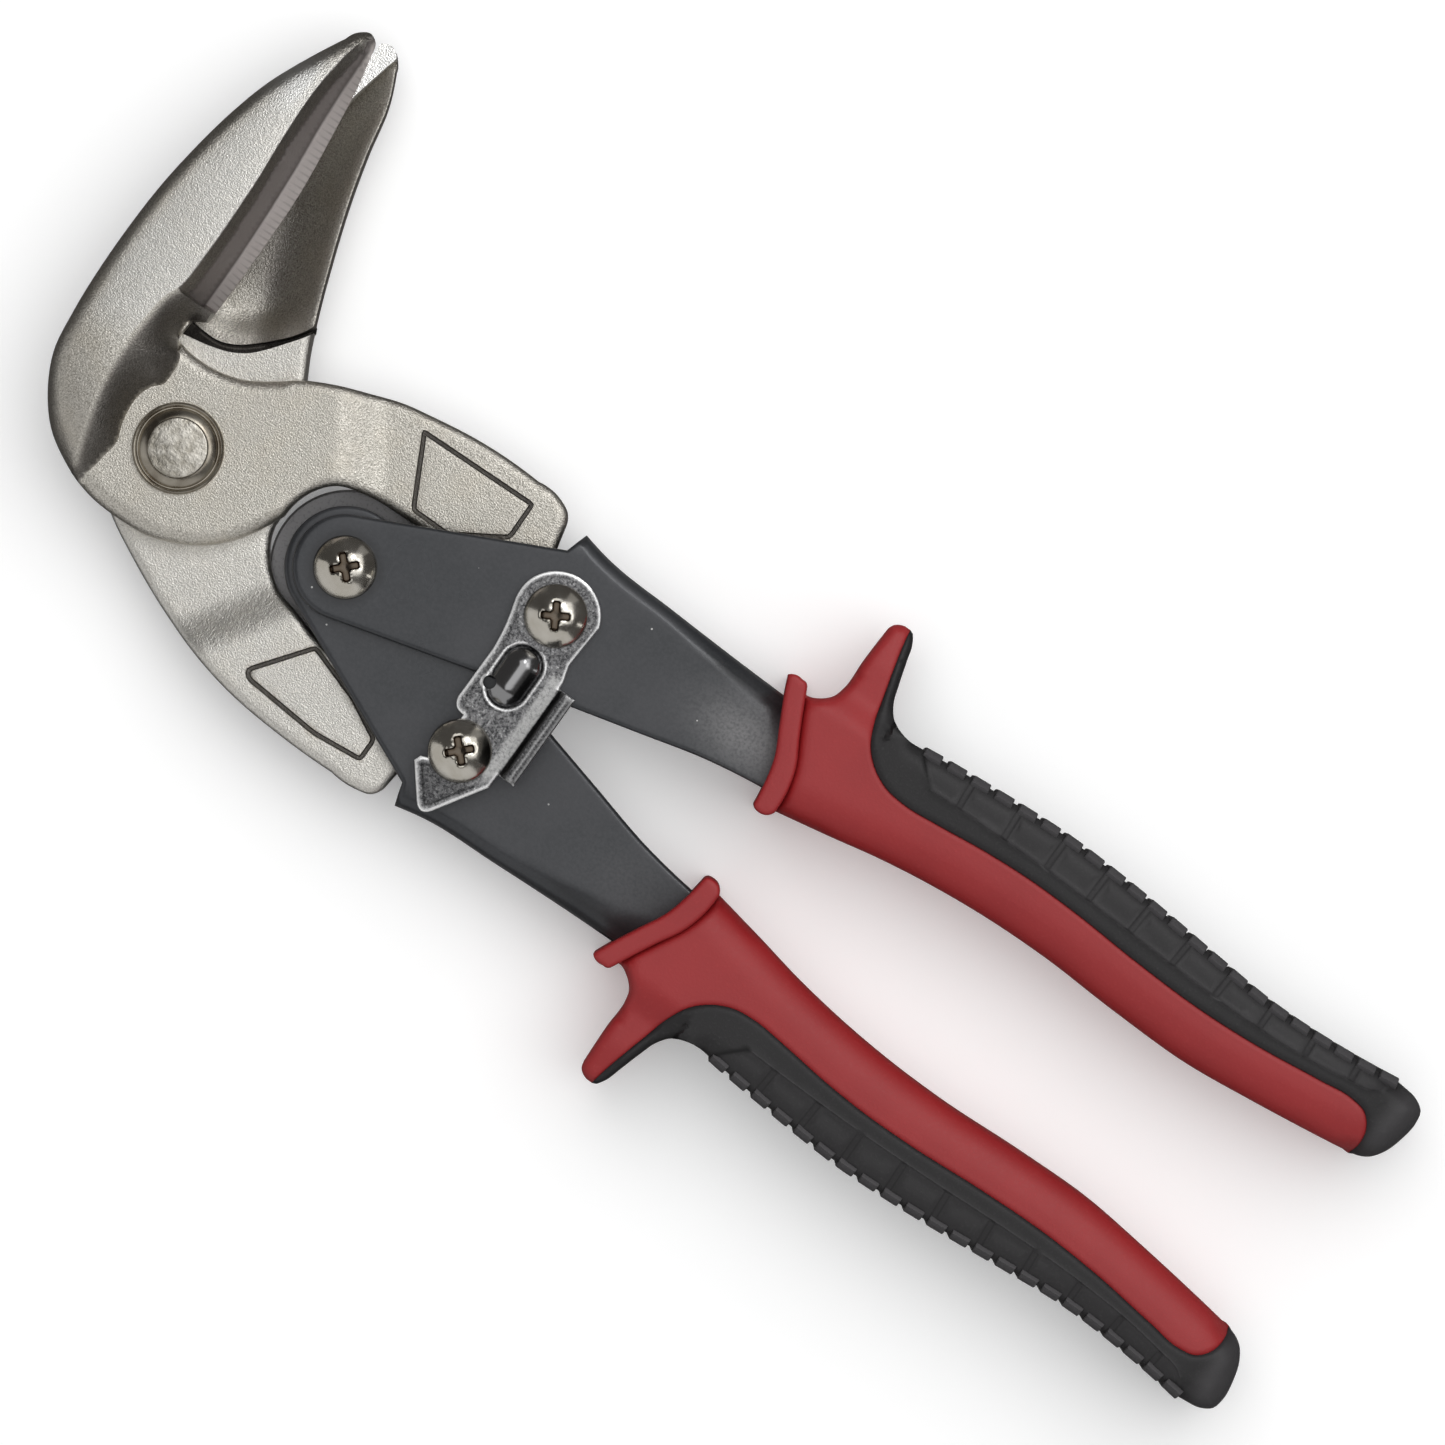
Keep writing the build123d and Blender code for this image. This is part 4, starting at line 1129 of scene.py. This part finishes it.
def tread_mesh(name):
    """Row of rounded tread blocks that wrap the grip's back edge."""
    verts, faces = [], []
    reach, fall, top = TREAD_REACH, TREAD_FALL, GRIP_TOP + COVER_PROUD - ZONE_DEPTH
    angles = np.radians([42, 45, 52, 60, 68, 76, 84, 90])
    curve = [(-reach + reach * math.sin(a), top - fall + fall * math.cos(a), a) for a in angles]
    curve = curve + [(n, -z, math.pi - a) for n, z, a in reversed(curve)]
    half_length = TREAD_LENGTH / 2
    stations = [(-half_length, 0.0), (0.05 - half_length, TREAD_LIFT - 0.14)]
    stations.append((0.2 - half_length, TREAD_LIFT))
    stations += [(-s, lift) for s, lift in reversed(stations)]
    for centre, along, out in tread_places():
        rows = []
        for s, lift in stations:
            row = []
            for index, (n, z, a) in enumerate(curve):
                end = 0.1 if index in (0, len(curve) - 1) else 1.0
                nn, zz = n + lift * end * math.sin(a), z + lift * end * math.cos(a)
                p = centre + along * s + out * nn
                row.append(len(verts))
                verts.append((p[0], p[1], zz))
            for n, z, a in reversed(curve):
                p = centre + along * s + out * (n - TREAD_SKIN * math.sin(a))
                row.append(len(verts))
                verts.append((p[0], p[1], z - TREAD_SKIN * math.cos(a)))
            rows.append(row)
        for a, b in zip(rows, rows[1:]):
            for k in range(len(a)):
                n = (k + 1) % len(a)
                faces.append((a[k], a[n], b[n], b[k]))
        half = len(curve)
        for row, order in ((rows[0], 1), (rows[-1], -1)):
            for k in range(half - 1):
                quad = (row[k], row[2 * half - 1 - k], row[2 * half - 2 - k], row[k + 1])
                faces.append(quad[::order])
    # The tread blocks are lighter: wear and painted sheen.
    obj = add_object(name, verts, faces, FINISH["black"], 40, {"wear_and_sheen": np.full(len(verts), TREAD_WEAR_AND_SHEEN)})
    fix_normals(obj)
    return obj


def build_grips():
    red_loop = closed_between(
        inner_edge[:-1], seam[::-1], horn_tip[horn_tip[:, 0] < 111.6], horn_front[1:], grip_mouth,
    )
    black_loop = closed_between(
        seam[::-1], [(112.6, 44.3), HORN_TIP[0]], horn_back[::-1][1:], tread_line[1:],
        cap_line[::-1][1:-1],
    )
    creases = [zone_edge[1:-1], inset_open(zone_edge, 0.3)[2:-2], inset_open(border, -0.25)[1:-2]]
    creases.append(np.array([(125.7, 29), (129.3, 25.4)]))
    for line in grooves:
        creases += [line + (d, 0) for d in (-0.7, -0.5, -0.3, 0.3, 0.5, 0.7)]
    for which in ("upper", "lower"):
        red = relief(
            f"{which}_grip_red", red_loop, [], core_top, lambda p: -core_top(p), FINISH["red"],
            step=1.1, rings=(0.2, 0.5, 0.9, 1.5, 2.3, 3.2, 4.3, 5.4), sharp=50,
        )
        black = relief(
            f"{which}_grip_black", black_loop, creases, cover_top, lambda p: -cover_top(p),
            FINISH["black"], step=0.9, rings=(0.2, 0.45, 0.8, 1.3, 2.0, 2.8, 3.7), sharp=50,
            tones=cover_tones,
        )
        collar = relief(
            f"{which}_grip_collar", COLLAR, [], collar_top, lambda p: -collar_top(p), FINISH["red"],
            step=0.8, rings=(0.1, 0.25, 0.45, 0.8), sharp=50,
        )
        treads = tread_mesh(f"{which}_grip_treads")
        for piece, slot, node in (
            (red, "red_plastic", f"{which}_grip_core"),
            (black, "black_rubber", f"{which}_grip_cover"),
            (collar, "red_plastic", None),
            (treads, "black_rubber", None),
        ):
            if which == "lower":
                mirror_down(piece, LOWER_GRIP_SHIFT)
            belongs(piece, f"{which}_handle", slot, node)


# ---------------- screws, pin and collars

HEAD_RADIUS = 5.15
HEAD_RIM = 0.5
HEAD_DOME = 2.5
HEAD_POWER = 2.3       # 2 is a plain dome, and more is flatter in the middle
SHANK = 3.0
NECK = 2.2
CROSS_REACH = 2.45
CROSS_HALF = 0.68
CROSS_WALL, CROSS_FOOT = 0.12, 0.26      # insets where the recess's wall bends and ends
CROSS_ROLL = 0.22
CROSS_STEP = 0.25


def cross_loop(turn, reach, half, notch):
    """Outline of a cross recess with arms of even width."""
    out = []
    for arm in range(4):
        angle = math.radians(turn + 90 * arm)
        cos, sin = math.cos(angle), math.sin(angle)
        side = [(notch, half), (reach - 0.25, half), (reach, half * 0.55)]
        out += [(x * cos + y * sin, x * sin - y * cos) for x, y in side]
        out += [(x * cos - y * sin, x * sin + y * cos) for x, y in reversed(side)]
    return np.array(out)


def densify(loop, step):
    out = []
    for a, b in zip(loop, np.roll(loop, -1, axis=0)):
        n = max(1, int(np.linalg.norm(b - a) / step))
        out += [a + (b - a) * k / n for k in range(n)]
    return np.array(out)


def screw(name, centre, seat, turn, shank):
    """Domed screw head with a cross recess, and its shank below."""
    centre = np.array(centre)

    def cross(reach, half, notch):
        return densify(cross_loop(turn, reach, half, notch), CROSS_STEP) + centre

    mouth, *walls = (
        cross(CROSS_REACH - d, CROSS_HALF - d, CROSS_HALF + 0.25 - d * 0.4)
        for d in (0, CROSS_WALL, CROSS_FOOT)
    )
    outer_lip = cross(CROSS_REACH + CROSS_ROLL, CROSS_HALF + CROSS_ROLL, CROSS_HALF + 0.34)

    def top(points):
        r = np.linalg.norm(points - centre, axis=1)
        z = seat + HEAD_RIM + HEAD_DOME * (1 - np.clip(r / HEAD_RADIUS, 0, 1) ** HEAD_POWER)
        distance = apart(points, mouth, True)
        deep = np.interp(distance, [0, CROSS_WALL, CROSS_FOOT], [0, 0.75, 1])
        deep = np.where(inside(points, mouth), deep, 0)
        rolled = 0.12 * np.clip(1 - distance / CROSS_ROLL, 0, 1)
        recessed = deep * (0.9 + 0.5 * (1 - np.clip(r / 2, 0, 1)))
        return z - np.where(deep > 0, recessed, rolled) - round_drop(HEAD_RADIUS - r, 0.3, 0.25)

    def tones(points, z):
        distance = apart(points, mouth, True)
        # Painted shade inside the cross recess, darkest just within its mouth.
        depth = np.interp(distance, [0, 0.1, 0.3, 0.6], [0.6, 1, 1, 0.9])
        return {"shade": np.where(inside(points, mouth), depth, 0)}

    rim = circle(centre, HEAD_RADIUS, 0.35)
    piece = relief(
        name, rim, [closed(loop) for loop in (mouth, *walls, outer_lip)], top,
        lambda p: np.full(len(p), float(seat)), FINISH["screw"],
        step=0.32, rings=(0.08, 0.2, 0.4), sharp=34, tones=tones,
    )
    verts, faces = turned_mesh(centre, shank + [(0, seat)], SHANK_SIDES)
    with editing(piece) as bm:
        corners = [bm.verts.new(np.array(p) * MM + PIVOT) for p in verts]
        for face in faces:
            bm.faces.new([corners[i] for i in face]).smooth = True
    return piece


def build_screws():
    """Three screws with their shanks; the lower one has a collar that the latch hooks."""
    for node, body, centre, turn in (
        ("handle_pivot_screw", "upper_handle", HANDLE_PIVOT, 45),
        ("upper_link_screw", "upper_handle", UPPER_LINK, 30),
        ("lower_link_screw", "lower_handle", LOWER_LINK, 45),
    ):
        bottom, high = levels_of(node)
        seat = high - HEAD_RIM - HEAD_DOME
        shank = [(0, bottom), (SHANK - 0.4, bottom), (SHANK, bottom + 0.4)]
        if node == "lower_link_screw":
            shank += [(SHANK, 4.6), (4.5, 4.6), (4.5, 6.6), (NECK, 6.6), (NECK, seat)]
        else:
            shank += [(SHANK, seat)]
        piece = screw(node + "_piece", centre, seat, turn, shank)
        belongs(piece, body, "plated_steel", node)


def build_pin():
    """Peened pin and its dished collars."""
    bottom, high = levels_of("blade_pivot_pin")
    dome = [(4.85, high - 1), (4.86, high - 0.6), (4.72, high - 0.32), (4.4, high - 0.22), (4.1, high - 0.25)]
    dome += [(3.4, high - 0.16), (2.2, high - 0.07), (1.1, high - 0.02), (0, high)]
    pin = turned("pivot_pin_piece", (0, 0), [(r, -z) for r, z in reversed(dome)] + dome, FINISH["pin"])
    belongs(pin, "upper_blade", "plated_steel", "blade_pivot_pin")
    ring = [(4.92, FLAT), (7.4, FLAT), (7.4, 5.1), (7.3, 5.4), (7.05, 5.6), (6.8, 5.5)]
    ring += [(6.6, 5.15), (6.45, 5.15), (6.3, 5.45), (5.9, 5.78), (5.4, 6.08), (5.1, 6.22), (4.92, 6.26)]
    for side, name in ((1, "front"), (-1, "back")):
        profile = [(r, side * z) for r, z in ring + ring[:1]]
        collar = turned(f"collar_{name}_piece", (0, 0), profile, FINISH["collar"], sharp=60)
        belongs(collar, "upper_blade", "plated_steel", f"pivot_collar_{name}")


# ---------------- latch

LATCH_LOW, LATCH_HIGH = 6.8, 8.8
TAB_TOP = 13.6
TAB_BEND = 72.0                 # u where the thumb tab starts to bend up
TAB_SIDES = (-12.8, 4)          # the v that it lies between
LATCH_RADIUS = 7.2

latch_rim = trace(
    (58.2, 11),
    [polar(UPPER_LINK, LATCH_RADIUS, a) for a in (160, 130, 100, 75, 50, 20)],
    [(71.2, 8)],
    [(72, 5.2)],
    [(72.1, 4)],
    [(75.2, 4)],
    [(75.2, -12.8)],
    [(72.1, -12.8)],
    [(72, -15.4)],
    [(66.8, -23.6)],
    [(65.4, -24.6), (63.9, -23.7)],
    [(59.8, -18.6)],
    [(60.2, -17.5)],
    [(64.3, -15.7)],
    [(67.1, -14.5), (67.3, -12.2), (65.4, -10.8)],
    [(62, -9.6)],
    [(62, -8.2)],
    [(60.3, -7.7), (59.6, -6.2)],
    [(59.7, 3)],
    [(59.2, 7), (58.2, 11)],
)[::-1]
OBLONG = (65.1, 1.5)
OBLONG_HALF = 2.1
OBLONG_RADIUS = 3.3
KEEPER = (62.4, -1.5)
BULGE = 2.0
BULGE_POWER = 1.85


def to_oblong(points):
    """Distance from the raised oblong's outline, negative inside it."""
    y = np.clip(points[:, 1], OBLONG[1] - OBLONG_HALF, OBLONG[1] + OBLONG_HALF)
    return np.hypot(points[:, 0] - OBLONG[0], points[:, 1] - y) - OBLONG_RADIUS


def latch_top(points):
    u, v = points[:, 0], points[:, 1]
    d = to_oblong(points)
    out = np.clip(1 + d / OBLONG_RADIUS, 0, 1)
    z = LATCH_HIGH + np.where(d < 0, BULGE * (1 - out**BULGE_POWER), 0)
    z += 0.14 * (1 - ease(np.abs(d - 0.45) / 0.4)) - 0.25 * (1 - ease(np.abs(d + 0.1) / 0.35))
    on_tab = (v < TAB_SIDES[1] + 0.05) & (v > TAB_SIDES[0] - 0.05)
    climb = np.clip((u - TAB_BEND - 0.3) / 0.9, 0, 1)
    tab = LATCH_HIGH + (TAB_TOP - LATCH_HIGH) * (1 - np.sqrt(1 - climb**2))
    z = np.where(on_tab & (u > TAB_BEND + 0.2), tab, z)
    rim = apart(points, latch_rim, True)
    return z - round_drop(rim, 0.32, 0.3)


def latch_bottom(points):
    u, v = points[:, 0], points[:, 1]
    on_tab = (v < TAB_SIDES[1] + 0.1) & (v > TAB_SIDES[0] - 0.1)
    outside = np.where(on_tab, np.clip((u - TAB_BEND) / 3.2, 0, 1), 0)
    return LATCH_LOW + 3.0 * (1 - np.sqrt(1 - 0.98 * outside**2))


def latch_tones(points, z):
    """Polished edges and oblong, a painted highlight along the edges, painted shade in the bend, on the tab
    and round the oblong, and a bright strip beside the tab.
    """
    rim = apart(points, latch_rim, True)
    d = to_oblong(points)
    u, v = points[:, 0], points[:, 1]
    tab = (v < TAB_SIDES[1]) & (v > TAB_SIDES[0])
    # The edges are polished and carry a painted highlight, weaker on the right side and on the tab.
    side = np.where(tab & (u > 73.3), 0.3, np.where((u > 67) & (v > -15), 0.5, 1.0))
    edge = side * (1 - ease((rim - 0.32) / 0.3))
    to_keeper = np.hypot(u - KEEPER[0], v - KEEPER[1])
    # Painted highlight round the pinned hole and round the oblong; a lighter line along the tab.
    edge = np.maximum(edge, 0.7 * (1 - ease((to_keeper - 1.35) / 0.2)))
    edge = np.maximum(edge, 0.9 * (1 - ease(np.abs(d - 0.4) / 0.28)))
    edge = np.maximum(edge, np.where(tab, 0.6 * (1 - ease(np.abs(u - 74.1) / 0.25)), 0))
    bend = tab & (u > 72.1) & (u < 73.3)
    # Painted shade in the bend, on the tab, round the oblong's foot and inside the rounded rim; darker
    # towards the lower tip.
    shade = np.where(bend, 0.9, 0) + np.where(tab & (u >= 73.3), 0.5, 0)
    shade += 0.9 * (1 - ease(np.abs(d + 0.1) / 0.3))
    shade += 0.5 * (1 - ease(np.abs(rim - 1.15) / 0.35)) * (u < 70)
    shade += 0.35 * ease((-16 - v) / 2) * ease((rim - 0.8) / 0.3)
    bright = ease((u - 69.6) / 0.7) * (1 - ease((u - TAB_BEND) / 0.1))
    bright *= ease((v + 16) / 3) * (1 - ease((v - 4.5) / 1.5))
    return {
        "edge": np.where(bend | (d < 0), 0, edge),
        "shade": np.clip(shade, 0, 1),
        "polish_and_highlight": 1.0 * (d < -0.3),
        "bright": bright,
    }


def build_latch():
    """Latch plate with its screw hole, pinned hole, raised oblong and thumb tab."""
    holes = [circle(UPPER_LINK, SHANK + 0.08, 0.4), circle(KEEPER, 1.1, 0.25)]
    creases = [np.array([(u, TAB_SIDES[0] + 0.3), (u, TAB_SIDES[1] - 0.3)]) for u in (72.25, 73.2)]
    piece = relief(
        "latch_plate_piece", latch_rim, creases, latch_top, latch_bottom, FINISH["zinc"],
        step=0.3, rings=(0.12, 0.3, 0.55, 0.8), holes=holes, tones=latch_tones, sharp=40,
    )
    belongs(piece, "latch", "latch_steel", "latch")


# ---------------- folded handles

CHANNEL_STOP = 126.0   # u where a channel ends inside its grip
WEB_WALL = 2.0
WEB_START = (61.3, 26.6)
TOUCH = 1e-7           # metres
PAINTED_LIGHT_PATCH = {"upper": 0.55, "lower": 0.1}     # strength of the painted pool of light before the grip


def channel_lines(end_radius):
    """The upper channel's web, and its whole outline with a round end of the given radius."""
    web = np.vstack([
        smooth_line([WEB_START, (66, 25.6), (80, 24.8), (101, 24.1)], 0.7),
        [(108, 23.98), (116, 23.87), (CHANNEL_STOP, 23.7)],
    ])
    rest = np.array([(CHANNEL_STOP, 14.6), (117, 12.3), (108, 10)])
    inner = smooth_line([(108, 10), (98, 8.5), (86, 5.5), (75, 2.7)], 0.8)[1:]
    round_end = [polar(HANDLE_PIVOT, end_radius, a) for a in np.arange(-76, -244, -4)]
    straight = np.linspace(inner[-1], round_end[0], 50)[1:-1]
    back = np.linspace(round_end[-1], (60.2, 22.8), 36)[1:]
    return web, np.vstack([web, rest, inner, straight, round_end, back, [(60.75, 24.7)]])


def fold_radius(u):
    return np.interp(u, [60, 80, 90, 104, 126], [2.6, 2.8, 3.8, 6.2, 6.4])


def build_channel(side, end_radius, inner_level, outer_level):
    """Sheet folded along its web, with two flanges between these levels on both sides."""
    body, painted_light_pool = f"{side}_handle", PAINTED_LIGHT_PATCH[side]
    web, rim = channel_lines(end_radius)
    free = rim[len(web):]

    def top(points):
        u, v = points[:, 0], points[:, 1]
        distance = apart(points, web)
        radius = fold_radius(u)
        z = outer_level - round_drop(distance, radius, np.minimum(radius, 4.4))
        z = z - 0.9 * ease((u - 88) / 16) * ease((v - 9) / 12)
        edge = apart(points, np.vstack([free, [WEB_START]]))
        return z - round_drop(edge, 0.8, 0.6)

    def bottom(points):
        distance = apart(points, web)
        level = inner_level * ease((distance - WEB_WALL) / 0.15)
        return np.minimum(level, top(points) - 0.3) * (level > 0)

    def tones(points, z):
        u, v = points[:, 0], points[:, 1]
        edge = apart(points, web)
        boss = np.hypot(u - HANDLE_PIVOT[0], v - HANDLE_PIVOT[1])
        # Painted shade: a ring round the screw head and a band along the fold.
        shade = 0.45 * (1 - ease((boss - 5.2) / 1.8))
        shade += 0.5 * ease((u - 84) / 8) * (1 - ease(np.abs(edge - 2.6) / 1.6))
        # Painted pool of light before the grip, and a painted highlight along the web's fold.
        lift = painted_light_pool * np.exp(-(((u - 100) / 8) ** 2) - ((v - 15) / 5) ** 2)
        return {"shade": shade, "lift": lift + 0.3 * (1 - ease((edge - 0.1) / 0.5))}

    creases = [inset_open(web, -d)[4:-2] for d in (WEB_WALL, WEB_WALL + 0.16)]
    creases += [circle(HANDLE_PIVOT, r) for r in (5.6, 6.4, 7.1)]
    piece = relief(
        f"{side}_channel_piece", rim, creases, top, bottom, FINISH["gunmetal"], step=1.0,
        rings=(0.15, 0.35, 0.6, 0.95, 1.4, 2.6, 3.4, 4.4, 5.4), sharp=40, tones=tones,
    )
    fold_over(piece)
    if side == "lower":
        mirror_down(piece)
    belongs(piece, body, "handle_steel", f"{body}_channel")


def fold_over(piece):
    """Adds the mirror image below the middle plane and joins the two along the web."""
    with editing(piece) as bm:
        flat = [f for f in bm.faces if all(abs(v.co.z - PIVOT[2]) < TOUCH for v in f.verts)]
        bmesh.ops.delete(bm, geom=flat, context="FACES")
        copy = bmesh.ops.duplicate(bm, geom=bm.verts[:] + bm.edges[:] + bm.faces[:])["geom"]
        for vert in (g for g in copy if isinstance(g, bmesh.types.BMVert)):
            vert.co.z = 2 * PIVOT[2] - vert.co.z
        bmesh.ops.reverse_faces(bm, faces=[g for g in copy if isinstance(g, bmesh.types.BMFace)])
        bmesh.ops.remove_doubles(bm, verts=bm.verts, dist=TOUCH)


def build_channels():
    """Both folded handles, and the guard disc on the upper one's back plate."""
    build_channel("upper", end_radius=8.5, inner_level=4.7, outer_level=6.7)
    build_channel("lower", end_radius=9.9, inner_level=2.7, outer_level=4.6)
    profile = [(3.1, -6.64), (12.2, -6.64), (12.7, -6.3), (12.7, -5.1), (12.3, -4.64)]
    profile += [(3.1, -4.64), (3.1, -6.64)]
    guard = turned("guard_disc_piece", HANDLE_PIVOT, profile, FINISH["gunmetal"])
    # The guard disc is painted lighter all over, as if lit.
    layer = guard.data.attributes.new("lift", "FLOAT", "POINT")
    layer.data.foreach_set("value", np.ones(len(guard.data.vertices), np.float32))
    belongs(guard, "upper_handle", "handle_steel")

build_upper_blade()
build_lower_blade()
build_grips()
build_screws()
build_pin()
build_latch()
build_channels()


# ---------------- floor, light and camera

TURN = math.radians(35.47)          # the picture is turned this far from the row frame
RIGHT = Vector((math.cos(TURN), math.sin(TURN), 0))
UP = Vector((-math.sin(TURN), math.cos(TURN), 0))
VERTICAL = Vector((0, 0, 1))
AIM = Vector(PIVOT) + Vector((0.0964, 0.0148, 0.005))
FIELD = 0.2312                      # width that the picture covers at the tool
DISTANCE = 1.5
SENSOR = 36.0
FLOOR_SIZE = 12
FLOOR_GAP = 0.0002
FLOOR_GLOW = 0.22                   # lifts the floor to near white under the soft light


def floor():
    """Plain pale paper that gloss doesn't see."""
    bpy.ops.mesh.primitive_plane_add(size=1)
    obj = bpy.context.object
    obj.name = "floor"
    obj.scale = (FLOOR_SIZE, FLOOR_SIZE, 1)
    obj.location.z = -FLOOR_GAP
    m = Mat("floor_paper", 0.0, 0.9)
    tone = m.mix(m.span(m.noise(40, 3), 0.3, 0.7), (0.87,) * 3, (0.89,) * 3)
    m.link(tone, m.shader.inputs["Emission Color"])
    m.shader.inputs["Emission Strength"].default_value = FLOOR_GLOW
    obj.data.materials.append(m.finish(tone))
    obj.visible_glossy = False


def area_light(name, size, radiance, place, across, upward, away):
    """Soft rectangular light at a place from the aim, which shines against away."""
    data = bpy.data.lights.new(name, "AREA")
    data.shape = "RECTANGLE"
    data.size, data.size_y = size
    data.energy = radiance * math.pi * size[0] * size[1]
    obj = bpy.data.objects.new(name, data)
    bpy.context.scene.collection.objects.link(obj)
    turn = Matrix((across, upward, away)).transposed().to_4x4()
    obj.matrix_world = Matrix.Translation(AIM + place) @ turn
    return obj


def lamp(name, offset, size, radiance, glossy):
    """Soft box at an offset from the aim, given as picture right, picture up and height.

    Only gloss sees it if glossy is true, and otherwise only matt light does.
    """
    place = RIGHT * offset[0] + UP * offset[1] + VERTICAL * offset[2]
    away = place.normalized()
    across = UP.cross(away).normalized()
    obj = area_light(name, size, radiance, place, across, away.cross(across), away)
    obj.visible_glossy, obj.visible_diffuse = glossy, not glossy


def card(name, azimuth, distance, size, height, radiance):
    """Upright card that only gloss sees, at an azimuth from the picture's right."""
    away = RIGHT * math.cos(math.radians(azimuth)) + UP * math.sin(math.radians(azimuth))
    place = away * distance + VERTICAL * height
    obj = area_light(name, size, radiance, place, VERTICAL.cross(away), VERTICAL, away)
    obj.visible_diffuse = False


def world():
    """Dim room for gloss, grey fill for matt light and a near white backdrop for the camera."""
    made = bpy.data.worlds.new("studio")
    bpy.context.scene.world = made
    made.use_nodes = True
    tree = made.node_tree
    room = tree.nodes["Background"]
    room.inputs["Color"].default_value = (0.085, 0.082, 0.08, 1)
    fill = tree.nodes.new("ShaderNodeBackground")
    fill.inputs["Color"].default_value = (0.35, 0.35, 0.35, 1)
    backdrop = tree.nodes.new("ShaderNodeBackground")
    backdrop.inputs["Color"].default_value = (0.95, 0.95, 0.95, 1)
    path = tree.nodes.new("ShaderNodeLightPath")
    choose = tree.nodes.new("ShaderNodeMixShader")
    tree.links.new(path.outputs["Is Camera Ray"], choose.inputs[0])
    soft = tree.nodes.new("ShaderNodeMixShader")
    tree.links.new(path.outputs["Is Glossy Ray"], soft.inputs[0])
    tree.links.new(fill.outputs[0], soft.inputs[1])
    tree.links.new(room.outputs[0], soft.inputs[2])
    tree.links.new(soft.outputs[0], choose.inputs[1])
    tree.links.new(backdrop.outputs[0], choose.inputs[2])
    tree.links.new(choose.outputs[0], tree.nodes["World Output"].inputs["Surface"])


def camera():
    """Looks straight down, as the photograph does."""
    data = bpy.data.cameras.new("camera")
    data.sensor_width = SENSOR
    data.lens = SENSOR * DISTANCE / FIELD
    data.clip_start, data.clip_end = 0.01, 50
    obj = bpy.data.objects.new("camera", data)
    bpy.context.scene.collection.objects.link(obj)
    turn = Matrix((RIGHT, UP, VERTICAL)).transposed().to_4x4()
    obj.matrix_world = Matrix.Translation(AIM + VERTICAL * DISTANCE) @ turn
    bpy.context.scene.camera = obj


floor()
lamp("overhead", offset=(0.25, 0.3, 1.0), size=(1.8, 1.8), radiance=1.5, glossy=False)
lamp("ceiling", offset=(0.3, 0.18, 0.9), size=(1.3, 1.2), radiance=1.08, glossy=True)
lamp("window", offset=(0.4, 0.57, 0.95), size=(0.24, 0.34), radiance=6.0, glossy=True)
lamp("side_window", offset=(0.72, 0.12, 0.95), size=(0.3, 0.6), radiance=1.2, glossy=True)
card("left_card", azimuth=234, distance=0.55, size=(3.3, 0.97), height=0.49, radiance=0.6)
card("far_card", azimuth=48, distance=1.0, size=(0.4, 0.6), height=0.4, radiance=0.25)
card("strip", azimuth=340, distance=1.1, size=(0.1, 0.3), height=0.26, radiance=1.5)
world()
camera()
bpy.context.scene.view_settings.view_transform = "Standard"
